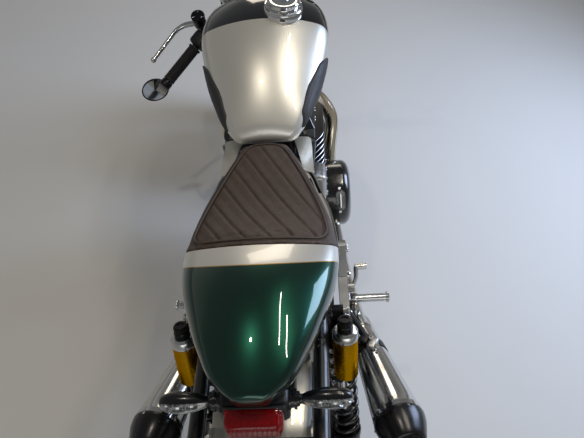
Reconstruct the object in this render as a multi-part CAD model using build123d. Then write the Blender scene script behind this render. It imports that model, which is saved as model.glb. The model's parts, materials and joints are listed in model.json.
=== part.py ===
from build123d import *
import os
from collections import namedtuple
from math import asin, atan2, cos, degrees, hypot, radians, sin, sqrt, tan

# Cafe racer motorcycle, parked on its side stand with the bars on the left stop.
# Every piece is drawn on the upright machine: X to the right, Y forward, Z up, the
# rear axle above the origin. The last section leans it over and sets it on the floor.

# Stance
WHEELBASE = 1415
RAKE_ANGLE = 22.8
TRAIL = 92
STEER_LOCK = 28
LEAN_ANGLE = 12
HINGE_GAP = 0.05

# Wheels: one row a wheel
Wheel = namedtuple(
    "Wheel",
    "tyre_radius tyre_width crown_rise bead_radius rim_width hub_radius hub_width "
    "flange_radius flange_offset",
)
FRONT = Wheel(299.9, 120, 48, 215.9, 88.9, 30, 118, 46, 44)
REAR = Wheel(311.9, 160, 56, 215.9, 127, 34, 150, 58, 56)
TYRE_SHOULDER = 0.62
RIM_LIP_HEIGHT = 12
RIM_LIP_WIDTH = 7
RIM_DEPTH = 16
FLANGE_THICKNESS = 6
SPOKE_PAIRS = 16
SPOKE_RADIUS = 2.2
SPOKE_SWEEP = 48
SPOKE_RIM_OFFSET = 10
AXLE_RADIUS = 12.5
AXLE_BORE_RADIUS = 8

# Front discs and rear brake and drive
DISC_THICKNESS = 5
FRONT_DISC_RADIUS = 155
FRONT_DISC_OFFSET = 68
REAR_DISC_RADIUS = 110
REAR_DISC_OFFSET = 92
DISC_BAND = 32
CARRIER_THICKNESS = 6
CHAIN_OFFSET = 96
CHAIN_WIDTH = 20
CHAIN_HEIGHT = 16
REAR_SPROCKET_RADIUS = 103
FRONT_SPROCKET_RADIUS = 40
SPROCKET_THICKNESS = 7
SPROCKET_GAP = 3

# Steering: heights are along the steering axis from the floor
FORK_SPREAD = 100
FORK_TUBE_RADIUS = 27
FORK_SLIDER_RADIUS = 21.5
FORK_TUBE_BOTTOM = 560
FORK_TUBE_PROUD = 6
LOWER_YOKE_HEIGHT = 768
UPPER_YOKE_HEIGHT = 968
YOKE_THICKNESS = 26
STEM_RADIUS = 16
STEM_BORE_RADIUS = 8
HEAD_TUBE_RADIUS = 31
YOKE_GAP = 6
BAR_RADIUS = 11
GRIP_RADIUS = 16
GRIP_LENGTH = 120
BAR_HALF_WIDTH = 372
BAR_SWEEP = 105
BAR_CLAMP_DROP = 23
CLOCK_RADIUS = 43
CLOCK_SPREAD = 52
HEADLAMP_RADIUS = 88
HEADLAMP_DEPTH = 120
HEADLAMP_REACH = 138
HEADLAMP_DROP = 98
MUDGUARD_WALL = 3
FRONT_GUARD_GAP = 9
FRONT_GUARD_CROWN = 22
FRONT_GUARD_START = 48
FRONT_GUARD_END = 150

# Frame and swinging arm
PIVOT_Y = 550
PIVOT_Z = 400
PIVOT_RADIUS = 14
ARM_OFFSET = 126
ARM_WIDTH = 26
BOBBIN_RADIUS = 4
BOBBIN_DEPTH = 14
BOBBIN_Y = 112
FRAME_TUBE_RADIUS = 17
CROSS_TUBE_RADIUS = 12
SPINE_RADIUS = 24
PIVOT_PLATE_OFFSET = 64
PIVOT_COLLAR_END = 82
CRADLE_OFFSET = 104
CRADLE_HEIGHT = 226
RAIL_RADIUS = 14
RAIL_OFFSET = 107
RAIL_HEIGHT = 706
RAIL_NOSE = ((48, 638, 738), (58, 548, 732))
RAIL_END_Y = -84
RAIL_END_HEIGHT = 736

# Engine
CASE_WIDTH = 250
CASE_REAR_Y = 590
CASE_FRONT_Y = 945
CASE_BASE_Z = 250
CASE_TOP_Z = 470
CASE_CHAMFER = 50
CYLINDER_WIDTH = 214
CYLINDER_REAR_Y = 738
CYLINDER_FRONT_Y = 882
HEAD_TOP_Z = 738
FIN_REACH = 29
FIN_THICKNESS = 4
FIN_COUNT = 9
FIN_PITCH = 19
COVER_RADIUS = 98
CLUTCH_REACH = 206
CLUTCH_Y = 790
CLUTCH_Z = 402
GENERATOR_REACH = 182

# Exhaust
PIPE_RADIUS = 21
HEADER_ROUTE = ((74, 870, 640), (84, 956, 648), (122, 1018, 600), (170, 1012, 516), (149, 958, 398),
                (150, 850, 264), (172, 620, 262), (188, 470, 312))
SILENCER_START = (199, 365, 352)
SILENCER_END = (261, 72, 441)
SILENCER_INLET_RADIUS = 30
SILENCER_RADIUS = 54
END_CAP_LENGTH = 62
END_CAP_RADIUS = 38
OUTLET_RADIUS = 20

# Tank, seat and tail
TANK_HEAD_GAP = 105.6
TANK_LENGTH = 486
TANK_HALF_WIDTH = 154
TANK_BASE_Z = 792
TANK_HEIGHT = 182
PAD_THICKNESS = 5
PAD_OUTLINE = ((20, 26), (150, 24), (204, 54), (214, 82), (172, 98), (104, 84), (44, 56))
TUNNEL_GAP = 6
FILLER_OFFSET = 52
FILLER_SHARE = 0.572
FILLER_RADIUS = 43
FILLER_HEIGHT = 14
LID_RADIUS = 38
LID_HEIGHT = 12
LID_SWING = 100
LID_PIN_RADIUS = 2
SEAT_HALF_WIDTH = 148
SEAT_NOSE_GAP = 6
HUMP_FACE_Y = 231
HUMP_FACE_RISE = 102
HUMP_FACE_TILT = 29
TAIL_TIP_Y = -52
TRAY_THICKNESS = 26
SEAT_GAP = 3
PANEL_WALL = 5
PANEL_WIDTH = 27
PANEL_PLAN = ((67, 572), (80, 548), (107, 510), (121, 457), (138, 404), (148, 330), (150, 296))
PANEL_OUTLINE = ((572, 757), (572, 690), (548, 645), (500, 600), (466, 598), (430, 642), (396, 698), (296, 738),
                 (296, 757))
PANEL_PEGS = ((74, 510, 728), (90, 450, 720), (107, 384, 711))
SEAT_RISE = 24
PART_GAP = 0.5

# Tail pieces
REAR_GUARD_RADIUS = 398
REAR_GUARD_HALF_WIDTH = 86
REAR_GUARD_CROWN = 16
REAR_GUARD_START = 66
REAR_GUARD_END = 128
LAMP_BASE_Y = -10
LAMP_HALF_WIDTH = 46
LAMP_HEIGHT = 44
LAMP_DEPTH = 34
INDICATOR_REACH = 155
LAMP_RISE = 27
PLATE_WIDTH = 178
PLATE_HEIGHT = 126
PLATE_THICKNESS = 3
PLATE_HOLE_RADIUS = 3.2
PLATE_HOLE_SPREAD = 70
PLATE_HOLE_HEIGHT = 44

# Shock absorbers
SHOCK_TOP = (140, 190, 690)
SHOCK_FOOT = (152, 46, 352)
SPRING_RADIUS = 30
SPRING_WIRE_RADIUS = 5.5
SPRING_TURNS = 9
RESERVOIR_RADIUS = 23
RESERVOIR_LENGTH = 110
RESERVOIR_FOOT = (151, 98, 618)
KNOB_RADIUS = 13

# Rider controls
PLATE_INNER = 154
PLATE_OUTER = 176
PEG_ROOT = (186, 421, 381)
PEG_TIP = (284, 430, 368)
PEG_RADIUS = 11

# Side stand
STAND_PIVOT = (-146, 600, 214)
STAND_FOOT_X = -306
STAND_FOOT_Y = 558
STAND_RADIUS = 12
STAND_PAD = (62, 46, 7)
STAND_STOWED = (-0.06, -1, -0.03)
STAND_BOSS = 16
STAND_PIN_RADIUS = 7


def mirrored(shape):
    """The same shape on the other side of the machine."""
    return mirror(shape, about=Plane.YZ)


def both_sides(shape):
    """A left and right pair, as separate solids of one piece."""
    return [shape, mirrored(shape)]


def rod(start, end, radius, bore=0):
    """A round bar between two points, with a bore through it where one is given."""
    start, end = Vector(start), Vector(end)
    plane = Plane(origin=(start + end) / 2, z_dir=end - start)
    bar = plane * Cylinder(radius, (end - start).length)
    return bar - plane * Cylinder(bore, (end - start).length + 1) if bore else bar


def block(low, high):
    """A box between two opposite corners."""
    low, high = Vector(low), Vector(high)
    return Pos((low + high) / 2) * Box(*(high - low))


def bent_tube(points, radius):
    """A bar that follows straight runs joined by arcs as large as the runs allow."""
    points = [Vector(point) for point in points]
    bends = []
    for before, corner, after in zip(points, points[1:], points[2:]):
        turn = radians((corner - before).get_angle(after - corner))
        run = min((corner - before).length, (after - corner).length)
        bends.append(0.45 * run / tan(turn / 2))
    path = FilletPolyline(*points, radius=bends) if bends else Line(*points)
    section = Plane(origin=points[0], z_dir=points[1] - points[0]) * Circle(radius)
    return sweep(section, path=path)


def turned(axis_start, axis_end, profile):
    """A body of revolution: profile rows are distance along the axis and radius."""
    start, end = Vector(axis_start), Vector(axis_end)
    plane = Plane(origin=start, x_dir=(end - start).cross(Vector(0, 0, 1)), z_dir=end - start)
    outline = [(0, profile[0][0]), *[(radius, along) for along, radius in profile], (0, profile[-1][0])]
    face = make_face(Polyline(*outline, close=True))
    return plane * revolve(Plane.XZ * face, Axis.Z)


def side_plate(outline, inner, outer):
    """A flat plate from an outline of (y, z) points, between two distances from the middle."""
    face = Plane.YZ * make_face(Polyline(*outline, close=True))
    return Pos(inner, 0, 0) * extrude(face, outer - inner)


def crown_radius(half_width, rise, shoulder):
    """The wide arc's radius in a half oval whose shoulder arcs are a share of its rise."""
    small = shoulder * rise
    return (half_width**2 + rise**2 - 2 * half_width * small) / (2 * (rise - small))


def half_oval(half_width, rise, shoulder):
    """Where a half oval's wide arc meets its shoulder arc, and the middle of that arc."""
    small = shoulder * rise
    large = crown_radius(half_width, rise, shoulder)
    across, up = half_width - small, large - rise
    reach = hypot(across, up)
    join = (across / reach * large, rise - large + up / reach * large)
    half_turn = atan2(up, across) / 2
    return join, (half_width - small + small * cos(half_turn), small * sin(half_turn))


def crown_section(y, half_width, side_z, top_z, base_half, base_z, shoulder):
    """A body's section across the machine: flat base, curved flanks, oval crown."""
    joint, bulge = half_oval(half_width, top_z - side_z, shoulder)
    right = [(base_half, base_z), (half_width, side_z), (bulge[0], side_z + bulge[1]),
             (joint[0], side_z + joint[1])]
    foot, side, middle, join = [(x, y, z) for x, z in right]
    left_foot, left_side, left_middle, left_join = [(-x, y, z) for x, z in right]
    return Face(Wire([
        Line(left_foot, foot),
        TangentArc(side, foot, tangent=(0, 0, -1)).edge(),
        ThreePointArc(side, middle, join),
        ThreePointArc(join, (0, y, top_z), left_join),
        ThreePointArc(left_join, left_middle, left_side),
        TangentArc(left_side, left_foot, tangent=(0, 0, -1)).edge(),
    ]))


# Steering frame: its Z runs up the steering axis, from where that meets the floor
rake = radians(RAKE_ANGLE)
steering_foot = Vector(0, WHEELBASE + TRAIL, 0)
steering_up = Vector(0, -sin(rake), cos(rake))
steer = Plane(origin=steering_foot, x_dir=(1, 0, 0), z_dir=steering_up)
front_axle = Vector(0, WHEELBASE, FRONT.tyre_radius)
rear_axle = Vector(0, 0, REAR.tyre_radius)
axle_in_steering = steer.to_local_coords(front_axle)
fork_offset = axle_in_steering.Y
axle_height = axle_in_steering.Z
head_bottom = LOWER_YOKE_HEIGHT + YOKE_THICKNESS + YOKE_GAP
head_top = UPPER_YOKE_HEIGHT - YOKE_GAP
fork_tube_top = UPPER_YOKE_HEIGHT + YOKE_THICKNESS + FORK_TUBE_PROUD
bar_clamp_height = UPPER_YOKE_HEIGHT - BAR_CLAMP_DROP
headlamp_height = UPPER_YOKE_HEIGHT - HEADLAMP_DROP
fork_line = (LOWER_YOKE_HEIGHT - 2 * FORK_SPREAD, UPPER_YOKE_HEIGHT + 2 * FORK_SPREAD)


def on_steering(height, forward=0):
    """The point on the machine's middle plane at a height along the steering axis."""
    return steer.from_local_coords(Vector(0, forward, height))


# The tank ends short of the steering head, the seat short of the tank, and the rails carry the seat
tank_rear_y = on_steering((head_bottom + head_top) / 2).Y - TANK_HEAD_GAP - TANK_LENGTH
seat_nose_y = tank_rear_y - SEAT_NOSE_GAP
seat_base_z = RAIL_END_HEIGHT + SEAT_RISE
lamp_z = seat_base_z + LAMP_RISE


# Wheels
def tyre(wheel, axle):
    half_width = wheel.tyre_width / 2
    seat = wheel.rim_width / 2
    brim = seat + RIM_LIP_WIDTH
    lip = wheel.bead_radius + RIM_LIP_HEIGHT + PART_GAP
    side = wheel.tyre_radius - wheel.crown_rise
    join, bulge = half_oval(half_width, wheel.crown_rise, TYRE_SHOULDER)
    edges = []
    for turn in (1, -1):
        edges += [
            Line((turn * seat, wheel.bead_radius), (turn * seat, lip)),
            Line((turn * seat, lip), (turn * brim, lip)),
            TangentArc((turn * half_width, side), (turn * brim, lip), tangent=(0, -1)).edge(),
            ThreePointArc((turn * half_width, side), (turn * bulge[0], side + bulge[1]),
                          (turn * join[0], side + join[1])),
        ]
    edges.append(ThreePointArc((join[0], side + join[1]), (0, wheel.tyre_radius), (-join[0], side + join[1])))
    edges.append(Line((-seat, wheel.bead_radius), (seat, wheel.bead_radius)))
    return Pos(axle) * revolve(make_face(edges), Axis.X)


def wire_wheel(wheel, axle):
    """Rim, crossed spokes and hub of a wheel, laced into one piece."""
    seat = wheel.rim_width / 2
    brim = seat + RIM_LIP_WIDTH
    lip = wheel.bead_radius + RIM_LIP_HEIGHT
    well = wheel.bead_radius - RIM_DEPTH
    waist = seat * 0.5
    outline = Polyline(
        (-seat, wheel.bead_radius), (seat, wheel.bead_radius), (seat, lip), (brim, lip),
        (brim, wheel.bead_radius - RIM_LIP_WIDTH), (waist, well), (-waist, well),
        (-brim, wheel.bead_radius - RIM_LIP_WIDTH), (-brim, lip), (-seat, lip), close=True,
    )
    rim = revolve(make_face(outline), Axis.X)
    hub = rod((-wheel.hub_width / 2, 0, 0), (wheel.hub_width / 2, 0, 0), wheel.hub_radius)
    pieces = [rim, hub]
    for side in (-1, 1):
        offset = side * wheel.flange_offset
        half = FLANGE_THICKNESS / 2
        pieces.append(rod((offset - half, 0, 0), (offset + half, 0, 0), wheel.flange_radius))
        for index in range(SPOKE_PAIRS):
            root = radians(360 / SPOKE_PAIRS * (index + (side > 0) / 2))
            lead = 1 if index % 2 else -1
            reach = root + lead * radians(SPOKE_SWEEP)
            root_radius = wheel.flange_radius - 4
            rim_radius = well + RIM_DEPTH / 3
            start = (offset + lead * half, root_radius * cos(root), root_radius * sin(root))
            end = (side * SPOKE_RIM_OFFSET, rim_radius * cos(reach), rim_radius * sin(reach))
            pieces.append(rod(start, end, SPOKE_RADIUS))
    laced = Part() + pieces
    bore = rod((-wheel.hub_width, 0, 0), (wheel.hub_width, 0, 0), AXLE_RADIUS + HINGE_GAP)
    return Pos(axle) * (laced - bore)


def disc(radius, offset, hub_radius, axle, centre_radius):
    """A brake disc on its carrier, round the hub it is bolted to."""
    low, high = offset - DISC_THICKNESS / 2, offset + DISC_THICKNESS / 2
    ring = rod((low, 0, 0), (high, 0, 0), radius, radius - DISC_BAND)
    carrier = rod((low, 0, 0), (low + CARRIER_THICKNESS, 0, 0), radius - DISC_BAND + 4, centre_radius)
    window = radius - DISC_BAND - hub_radius
    holes = [
        Rot(turn, 0, 0) * Pos(low, 0, hub_radius + window * 0.52)
        * Rot(0, 90, 0) * Cylinder(window * 0.28, 40)
        for turn in range(0, 360, 45)
    ]
    return Pos(axle) * (ring + carrier - holes)


def front_discs():
    return both_sides(disc(FRONT_DISC_RADIUS, FRONT_DISC_OFFSET, FRONT.flange_radius + 6, front_axle,
                           FRONT.hub_radius))


def rear_disc():
    spacer = rod((REAR.hub_width / 2, 0, 0), (REAR_DISC_OFFSET - DISC_THICKNESS / 2, 0, 0),
                 REAR.hub_radius + 6, REAR.hub_radius - 8)
    plate = disc(REAR_DISC_RADIUS, REAR_DISC_OFFSET, REAR.hub_radius + 4, Vector(0, 0, 0),
                 REAR.hub_radius - 8)
    return Pos(rear_axle) * (plate + spacer)


def sprocket():
    inner = CHAIN_OFFSET - SPROCKET_THICKNESS / 2
    outer = CHAIN_OFFSET + SPROCKET_THICKNESS / 2
    plate = rod((-outer, 0, 0), (-inner, 0, 0), REAR_SPROCKET_RADIUS, REAR.hub_radius - 8)
    carrier = rod((-inner, 0, 0), (-REAR.hub_width / 2, 0, 0), REAR.hub_radius + 18, REAR.hub_radius - 8)
    holes = [
        Rot(turn, 0, 0) * Pos(-CHAIN_OFFSET, 0, 76) * Rot(0, 90, 0) * Cylinder(15, 40)
        for turn in range(0, 360, 60)
    ]
    return Pos(rear_axle) * (plate + carrier - holes)


def axle_bar(axle, half_length):
    return Pos(axle) * rod((-half_length, 0, 0), (half_length, 0, 0), AXLE_RADIUS, AXLE_BORE_RADIUS)


# Steering
def fork_legs():
    tube = rod((FORK_SPREAD, fork_offset, FORK_TUBE_BOTTOM), (FORK_SPREAD, fork_offset, fork_tube_top),
               FORK_TUBE_RADIUS)
    slider = rod((FORK_SPREAD, fork_offset, axle_height), (FORK_SPREAD, fork_offset, FORK_TUBE_BOTTOM),
                 FORK_SLIDER_RADIUS)
    foot = block((FORK_SPREAD - 20, fork_offset - 30, axle_height - 30),
                 (FORK_SPREAD + 20, fork_offset + 24, axle_height + 60))
    lug = block((FORK_SPREAD - 12, fork_offset - 72, axle_height + 52),
                (FORK_SPREAD + 4, fork_offset - 20, axle_height + 82))
    leg = steer * (tube + slider + foot + lug)
    bore = rod(front_axle - Vector(200, 0, 0), front_axle + Vector(200, 0, 0), AXLE_RADIUS)
    return both_sides(leg - bore)


def fork_core(side):
    """What a fork tube fills, well past both yokes."""
    return rod((side * FORK_SPREAD, fork_offset, fork_line[0]), (side * FORK_SPREAD, fork_offset, fork_line[1]),
               FORK_TUBE_RADIUS)


def yoke(low, with_stem):
    plate = Box(2 * FORK_SPREAD + 2 * FORK_TUBE_RADIUS + 18, 62, YOKE_THICKNESS)
    plate = fillet(plate.edges().filter_by(Axis.Z), 22)
    yoke_body = Pos(0, fork_offset * 0.72, low + YOKE_THICKNESS / 2) * plate
    hub = Pos(0, 0, low + YOKE_THICKNESS / 2) * Cylinder(HEAD_TUBE_RADIUS, YOKE_THICKNESS)
    yoke_body += hub
    if with_stem:
        yoke_body += rod((0, 0, low), (0, 0, UPPER_YOKE_HEIGHT), STEM_RADIUS)
    for side in (-1, 1):
        yoke_body -= fork_core(side)
    return yoke_body


def yokes():
    bore = rod((0, 0, fork_line[0]), (0, 0, fork_line[1]), STEM_BORE_RADIUS)
    bottom = steer * (yoke(LOWER_YOKE_HEIGHT, True) - bore)
    top = steer * (yoke(UPPER_YOKE_HEIGHT, False) - bore)
    return Part() + [bottom, top]


def bar_line(side=1):
    """The clip-on bar from its clamp to its end, on the steering frame."""
    clamp = Vector(side * FORK_SPREAD, fork_offset, bar_clamp_height - 16)
    inner = Vector(side * (FORK_SPREAD + 62), fork_offset - 26, bar_clamp_height - 10)
    end = Vector(side * BAR_HALF_WIDTH, fork_offset - BAR_SWEEP, bar_clamp_height - 48)
    return clamp, inner, end


def clip_ons():
    clamp, inner, end = bar_line()
    ring = rod(clamp - Vector(0, 0, 16), clamp + Vector(0, 0, 12), FORK_TUBE_RADIUS + 9)
    bar = rod(inner, end, BAR_RADIUS) + rod(clamp, inner, BAR_RADIUS + 3)
    pin = rod(clamp - Vector(0, 0, 40), clamp + Vector(0, 0, 40), FORK_TUBE_RADIUS)
    return both_sides(steer * (ring + bar - pin))


def grips():
    clamp, inner, end = bar_line()
    along = (end - inner).normalized()
    grip = rod(end - along * GRIP_LENGTH, end - along * 2, GRIP_RADIUS, BAR_RADIUS)
    return both_sides(steer * grip)


def switch_gear():
    """Switch cubes, lever brackets, reservoirs and levers, one set a side."""
    clamp, inner, end = bar_line()
    along = (end - inner).normalized()
    seat = end - along * (GRIP_LENGTH + 26)
    side_plane = Plane(origin=seat, x_dir=along, z_dir=(0, 0, 1))
    cube = side_plane * Box(44, 42, 46)
    perch_at = seat - along * 34
    perch = Plane(origin=perch_at, x_dir=along, z_dir=(0, 0, 1)) * (
        Pos(0, 16, 0) * Box(22, 62, 30) + Pos(-6, 34, 22) * Cylinder(19, 34)
    )
    lever = bent_tube([perch_at + Vector(4, 44, -4), perch_at + Vector(60, 72, -12),
                       perch_at + Vector(172, 20, -26)], 6.5)
    bar = rod(inner - along * 40, end, BAR_RADIUS)
    return both_sides(steer * (cube + perch + lever - bar))


def mirrors():
    """Round mirrors on short arms at the bar ends."""
    clamp, inner, end = bar_line()
    along = (end - inner).normalized()
    weight = rod(end, end + along * 20, GRIP_RADIUS)
    tip = end + along * 10
    arm = bent_tube([tip, tip + Vector(14, 34, -20), tip + Vector(34, 52, -70)], 5)
    face_at = tip + Vector(34, 52, -70)
    shell = Plane(origin=face_at, z_dir=(0.1, -1, 0.25)) * Cylinder(40, 13)
    return both_sides(steer * (weight + arm + shell))


def instruments():
    """Two round clocks on a bracket above the top yoke."""
    top = UPPER_YOKE_HEIGHT + YOKE_THICKNESS
    clocks = []
    for side in (-1, 1):
        at = Vector(side * CLOCK_SPREAD, fork_offset + 68, top + 24)
        clocks.append(Plane(origin=at, z_dir=(0, -0.42, 0.9)) * Cylinder(CLOCK_RADIUS, 52))
    bracket = block((-70, 20, top), (70, fork_offset + 80, top + 8))
    return [steer * (Part() + [*clocks, bracket])]


def headlamp_plane():
    reach = on_steering(headlamp_height, fork_offset + HEADLAMP_REACH)
    return Plane(origin=reach, x_dir=(1, 0, 0), z_dir=(0, 1, -0.05))


def headlamp_shell():
    bowl = headlamp_plane() * (
        Pos(0, 0, -HEADLAMP_DEPTH / 2) * Cylinder(HEADLAMP_RADIUS, HEADLAMP_DEPTH * 0.5)
        + Pos(0, 0, -HEADLAMP_DEPTH * 0.75) * Cone(HEADLAMP_RADIUS * 0.45, HEADLAMP_RADIUS, HEADLAMP_DEPTH / 2)
    )
    ears = []
    for side in (-1, 1):
        ears.append(steer * block(
            (side * FORK_SPREAD - 4, fork_offset + FORK_TUBE_RADIUS - 8, headlamp_height - 26),
            (side * FORK_SPREAD + 4, fork_offset + HEADLAMP_REACH - 30, headlamp_height + 26)))
        ears.append(steer * rod((side * (HEADLAMP_RADIUS - 8), fork_offset + HEADLAMP_REACH - 58, headlamp_height),
                                (side * (FORK_SPREAD + 8), fork_offset + HEADLAMP_REACH - 58, headlamp_height), 12))
    return bowl, ears


def headlamp():
    bowl, ears = headlamp_shell()
    return [Part() + [bowl, *ears] - [steer * fork_core(side) for side in (-1, 1)]]


def headlamp_lens():
    depth = -HEADLAMP_DEPTH / 4
    rim = headlamp_plane() * (Pos(0, 0, depth + 5) * Cylinder(HEADLAMP_RADIUS + 4, 10))
    dome = headlamp_plane() * (Pos(0, 0, depth + 16) * Cone(HEADLAMP_RADIUS, HEADLAMP_RADIUS * 0.6, 12))
    return [rim + dome]


def wheel_guard(inner_radius, half_width, crown, wall, axle, start, end):
    """A mudguard shell over a wheel: start and end are degrees round from forward."""
    rise = inner_radius + crown
    outer = ThreePointArc((-half_width, inner_radius), (0, rise), (half_width, inner_radius))
    inner_arc = ThreePointArc((-half_width, inner_radius - wall), (0, rise - wall),
                              (half_width, inner_radius - wall))
    sides = [Line((x, inner_radius), (x, inner_radius - wall)) for x in (-half_width, half_width)]
    section = make_face([outer, inner_arc, *sides])
    shell = revolve(section, Axis.X, revolution_arc=end - start)
    return Pos(axle) * Rot(start, 0, 0) * shell


def front_mudguard(legs):
    inner = FRONT.tyre_radius + FRONT_GUARD_GAP - FRONT_GUARD_CROWN + MUDGUARD_WALL
    half_width = FRONT.tyre_width / 2 + 8
    shell = wheel_guard(inner, half_width, FRONT_GUARD_CROWN, MUDGUARD_WALL, front_axle,
                        FRONT_GUARD_START, FRONT_GUARD_END)
    brace = steer * block((half_width - 2.5, fork_offset - 14, axle_height + 225),
                          (FORK_SPREAD - FORK_SLIDER_RADIUS + 8, fork_offset + 14, axle_height + inner))
    side_arm = brace - legs[0]
    return Part() + [shell, side_arm, mirrored(side_arm)]


def calipers():
    body = steer * block((FRONT_DISC_OFFSET - 20, fork_offset - 118, axle_height + 60),
                         (FRONT_DISC_OFFSET + 24, fork_offset - 72, axle_height + 150))
    gap = DISC_THICKNESS / 2 + 2
    slot = Pos(front_axle) * rod((FRONT_DISC_OFFSET - gap, 0, 0), (FRONT_DISC_OFFSET + gap + 1, 0, 0),
                                 FRONT_DISC_RADIUS + 6)
    return both_sides(body - slot)


def front_indicators():
    inner = Vector(FORK_SPREAD + FORK_TUBE_RADIUS - 2, fork_offset + 6, headlamp_height - 50)
    stalk = rod(inner, inner + Vector(34, 0, 0), 8)
    lamp = turned(inner + Vector(30, 0, 0), inner + Vector(96, 0, 0),
                  ((0, 12), (22, 19), (50, 17), (66, 6)))
    return both_sides(steer * (stalk + lamp - fork_core(1)))


# Frame
def spine_route():
    return [on_steering(head_bottom + 118), (0, 940, 775), (0, 640, 755)]


def frame_spine():
    cross = rod((-RAIL_OFFSET + 10, 640, 745), (RAIL_OFFSET - 10, 640, 745), FRAME_TUBE_RADIUS - 3)
    return bent_tube(spine_route(), SPINE_RADIUS) + cross


def frame_loop():
    """One side's tube: down ahead of the engine, under it and up behind it."""
    start = on_steering(head_bottom + 34) + Vector(20, -6, 0)
    upright = PIVOT_PLATE_OFFSET
    return bent_tube([start, (70, 1008, 560), (CRADLE_OFFSET, 1000, CRADLE_HEIGHT + 6),
                      (CRADLE_OFFSET, 800, CRADLE_HEIGHT), (upright + 20, 572, CRADLE_HEIGHT),
                      (upright, 520, CRADLE_HEIGHT + 90), (upright, 522, 500),
                      (RAIL_OFFSET - 10, 640, 745)], FRAME_TUBE_RADIUS)


def pivot_plate():
    outline = ((492, 300), (556, 300), (580, 350), (582, 450), (560, 510), (500, 510), (488, 420))
    return side_plate(outline, PIVOT_PLATE_OFFSET - 10, PIVOT_PLATE_OFFSET + 10)


def stand_line(along):
    """A point on the side stand's hinge line, measured inwards from the leg."""
    return stand_pivot + stand_axis * along


def stem_space():
    """What the steering stem turns in."""
    return rod(on_steering(head_bottom - 20), on_steering(head_top + 20), STEM_RADIUS + HINGE_GAP)


def main_frame():
    """Steering head and spine, with the cross tube that the cradles hang from."""
    head = rod(on_steering(head_bottom), on_steering(head_top), HEAD_TUBE_RADIUS)
    return frame_spine() + head - stem_space()


def right_cradle(spine):
    """Tube, pivot plate and pivot collar of one side."""
    collar = rod((PIVOT_PLATE_OFFSET, PIVOT_Y, PIVOT_Z), (PIVOT_COLLAR_END, PIVOT_Y, PIVOT_Z), PIVOT_RADIUS + 8)
    bore = rod((0, PIVOT_Y, PIVOT_Z), (PIVOT_COLLAR_END + 1, PIVOT_Y, PIVOT_Z), PIVOT_RADIUS)
    return frame_loop() + pivot_plate() + collar - bore - spine - stem_space()


def left_cradle(right):
    """The other side's tube, with the tube under the engine and the side stand's lug and pin."""
    cross = rod((-CRADLE_OFFSET, 700, CRADLE_HEIGHT), (CRADLE_OFFSET, 700, CRADLE_HEIGHT), CROSS_TUBE_RADIUS)
    stand_lug = rod(stand_line(STAND_BOSS / 2 + 2), stand_line(STAND_BOSS / 2 + 38), 19)
    stand_pin = rod(stand_line(-STAND_BOSS / 2 - 4), stand_line(STAND_BOSS / 2 + 3), STAND_PIN_RADIUS)
    return mirrored(right) + [cross - right, stand_lug, stand_pin]


def rear_subframe(frame):
    rail = bent_tube([*RAIL_NOSE, (RAIL_OFFSET, 392, RAIL_HEIGHT + 4), (RAIL_OFFSET, 150, RAIL_HEIGHT),
                      (RAIL_OFFSET - 6, RAIL_END_Y, RAIL_END_HEIGHT)], RAIL_RADIUS)
    stud = rod((RAIL_OFFSET, *SHOCK_TOP[1:]), (SHOCK_TOP[0] + 14, *SHOCK_TOP[1:]), 9)
    crosses = [rod((-RAIL_OFFSET, y, z), (RAIL_OFFSET, y, z), 9)
               for y, z in ((250, RAIL_HEIGHT + 4), (RAIL_END_Y + 12, RAIL_END_HEIGHT - 2))]
    return Part() + [rail, mirrored(rail), stud, mirrored(stud), *crosses] - frame


def swingarm():
    inner, outer = ARM_OFFSET - ARM_WIDTH / 2, ARM_OFFSET + ARM_WIDTH / 2
    axle_z = rear_axle.Z
    outline = ((-34, axle_z + 24), (-34, axle_z - 24), (40, axle_z - 26), (PIVOT_Y, PIVOT_Z - 24),
               (PIVOT_Y + 20, PIVOT_Z), (PIVOT_Y, PIVOT_Z + 24), (40, axle_z + 26))
    arm = side_plate(outline, inner, outer)
    lug = side_plate(((SHOCK_FOOT[1] - 26, axle_z + 20), (SHOCK_FOOT[1] + 26, axle_z + 20),
                      (SHOCK_FOOT[1] + 12, SHOCK_FOOT[2] + 12), (SHOCK_FOOT[1] - 12, SHOCK_FOOT[2] + 12)),
                     inner, outer)
    stud = rod((inner, SHOCK_FOOT[1], SHOCK_FOOT[2]), (SHOCK_FOOT[0] + 14, SHOCK_FOOT[1], SHOCK_FOOT[2]), 8)
    side = arm + lug + stud
    side += rod((PIVOT_COLLAR_END + PART_GAP, PIVOT_Y, PIVOT_Z), (outer, PIVOT_Y, PIVOT_Z), PIVOT_RADIUS + 8)
    bridge = block((-outer, 410, PIVOT_Z - 38), (outer, 444, PIVOT_Z + 4))
    arms = Part() + [side, mirrored(side), bridge]
    arms -= rod((-200, PIVOT_Y, PIVOT_Z), (200, PIVOT_Y, PIVOT_Z), PIVOT_RADIUS)
    arms -= rod(rear_axle - Vector(200, 0, 0), rear_axle + Vector(200, 0, 0), AXLE_RADIUS)
    bobbin = rod((outer - BOBBIN_DEPTH, BOBBIN_Y, axle_z + 8), (outer + 1, BOBBIN_Y, axle_z + 8), BOBBIN_RADIUS)
    return arms - bobbin - mirrored(bobbin)


def pivot_bolt():
    reach = ARM_OFFSET + 16
    return rod((-reach, PIVOT_Y, PIVOT_Z), (reach, PIVOT_Y, PIVOT_Z), PIVOT_RADIUS)


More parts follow.
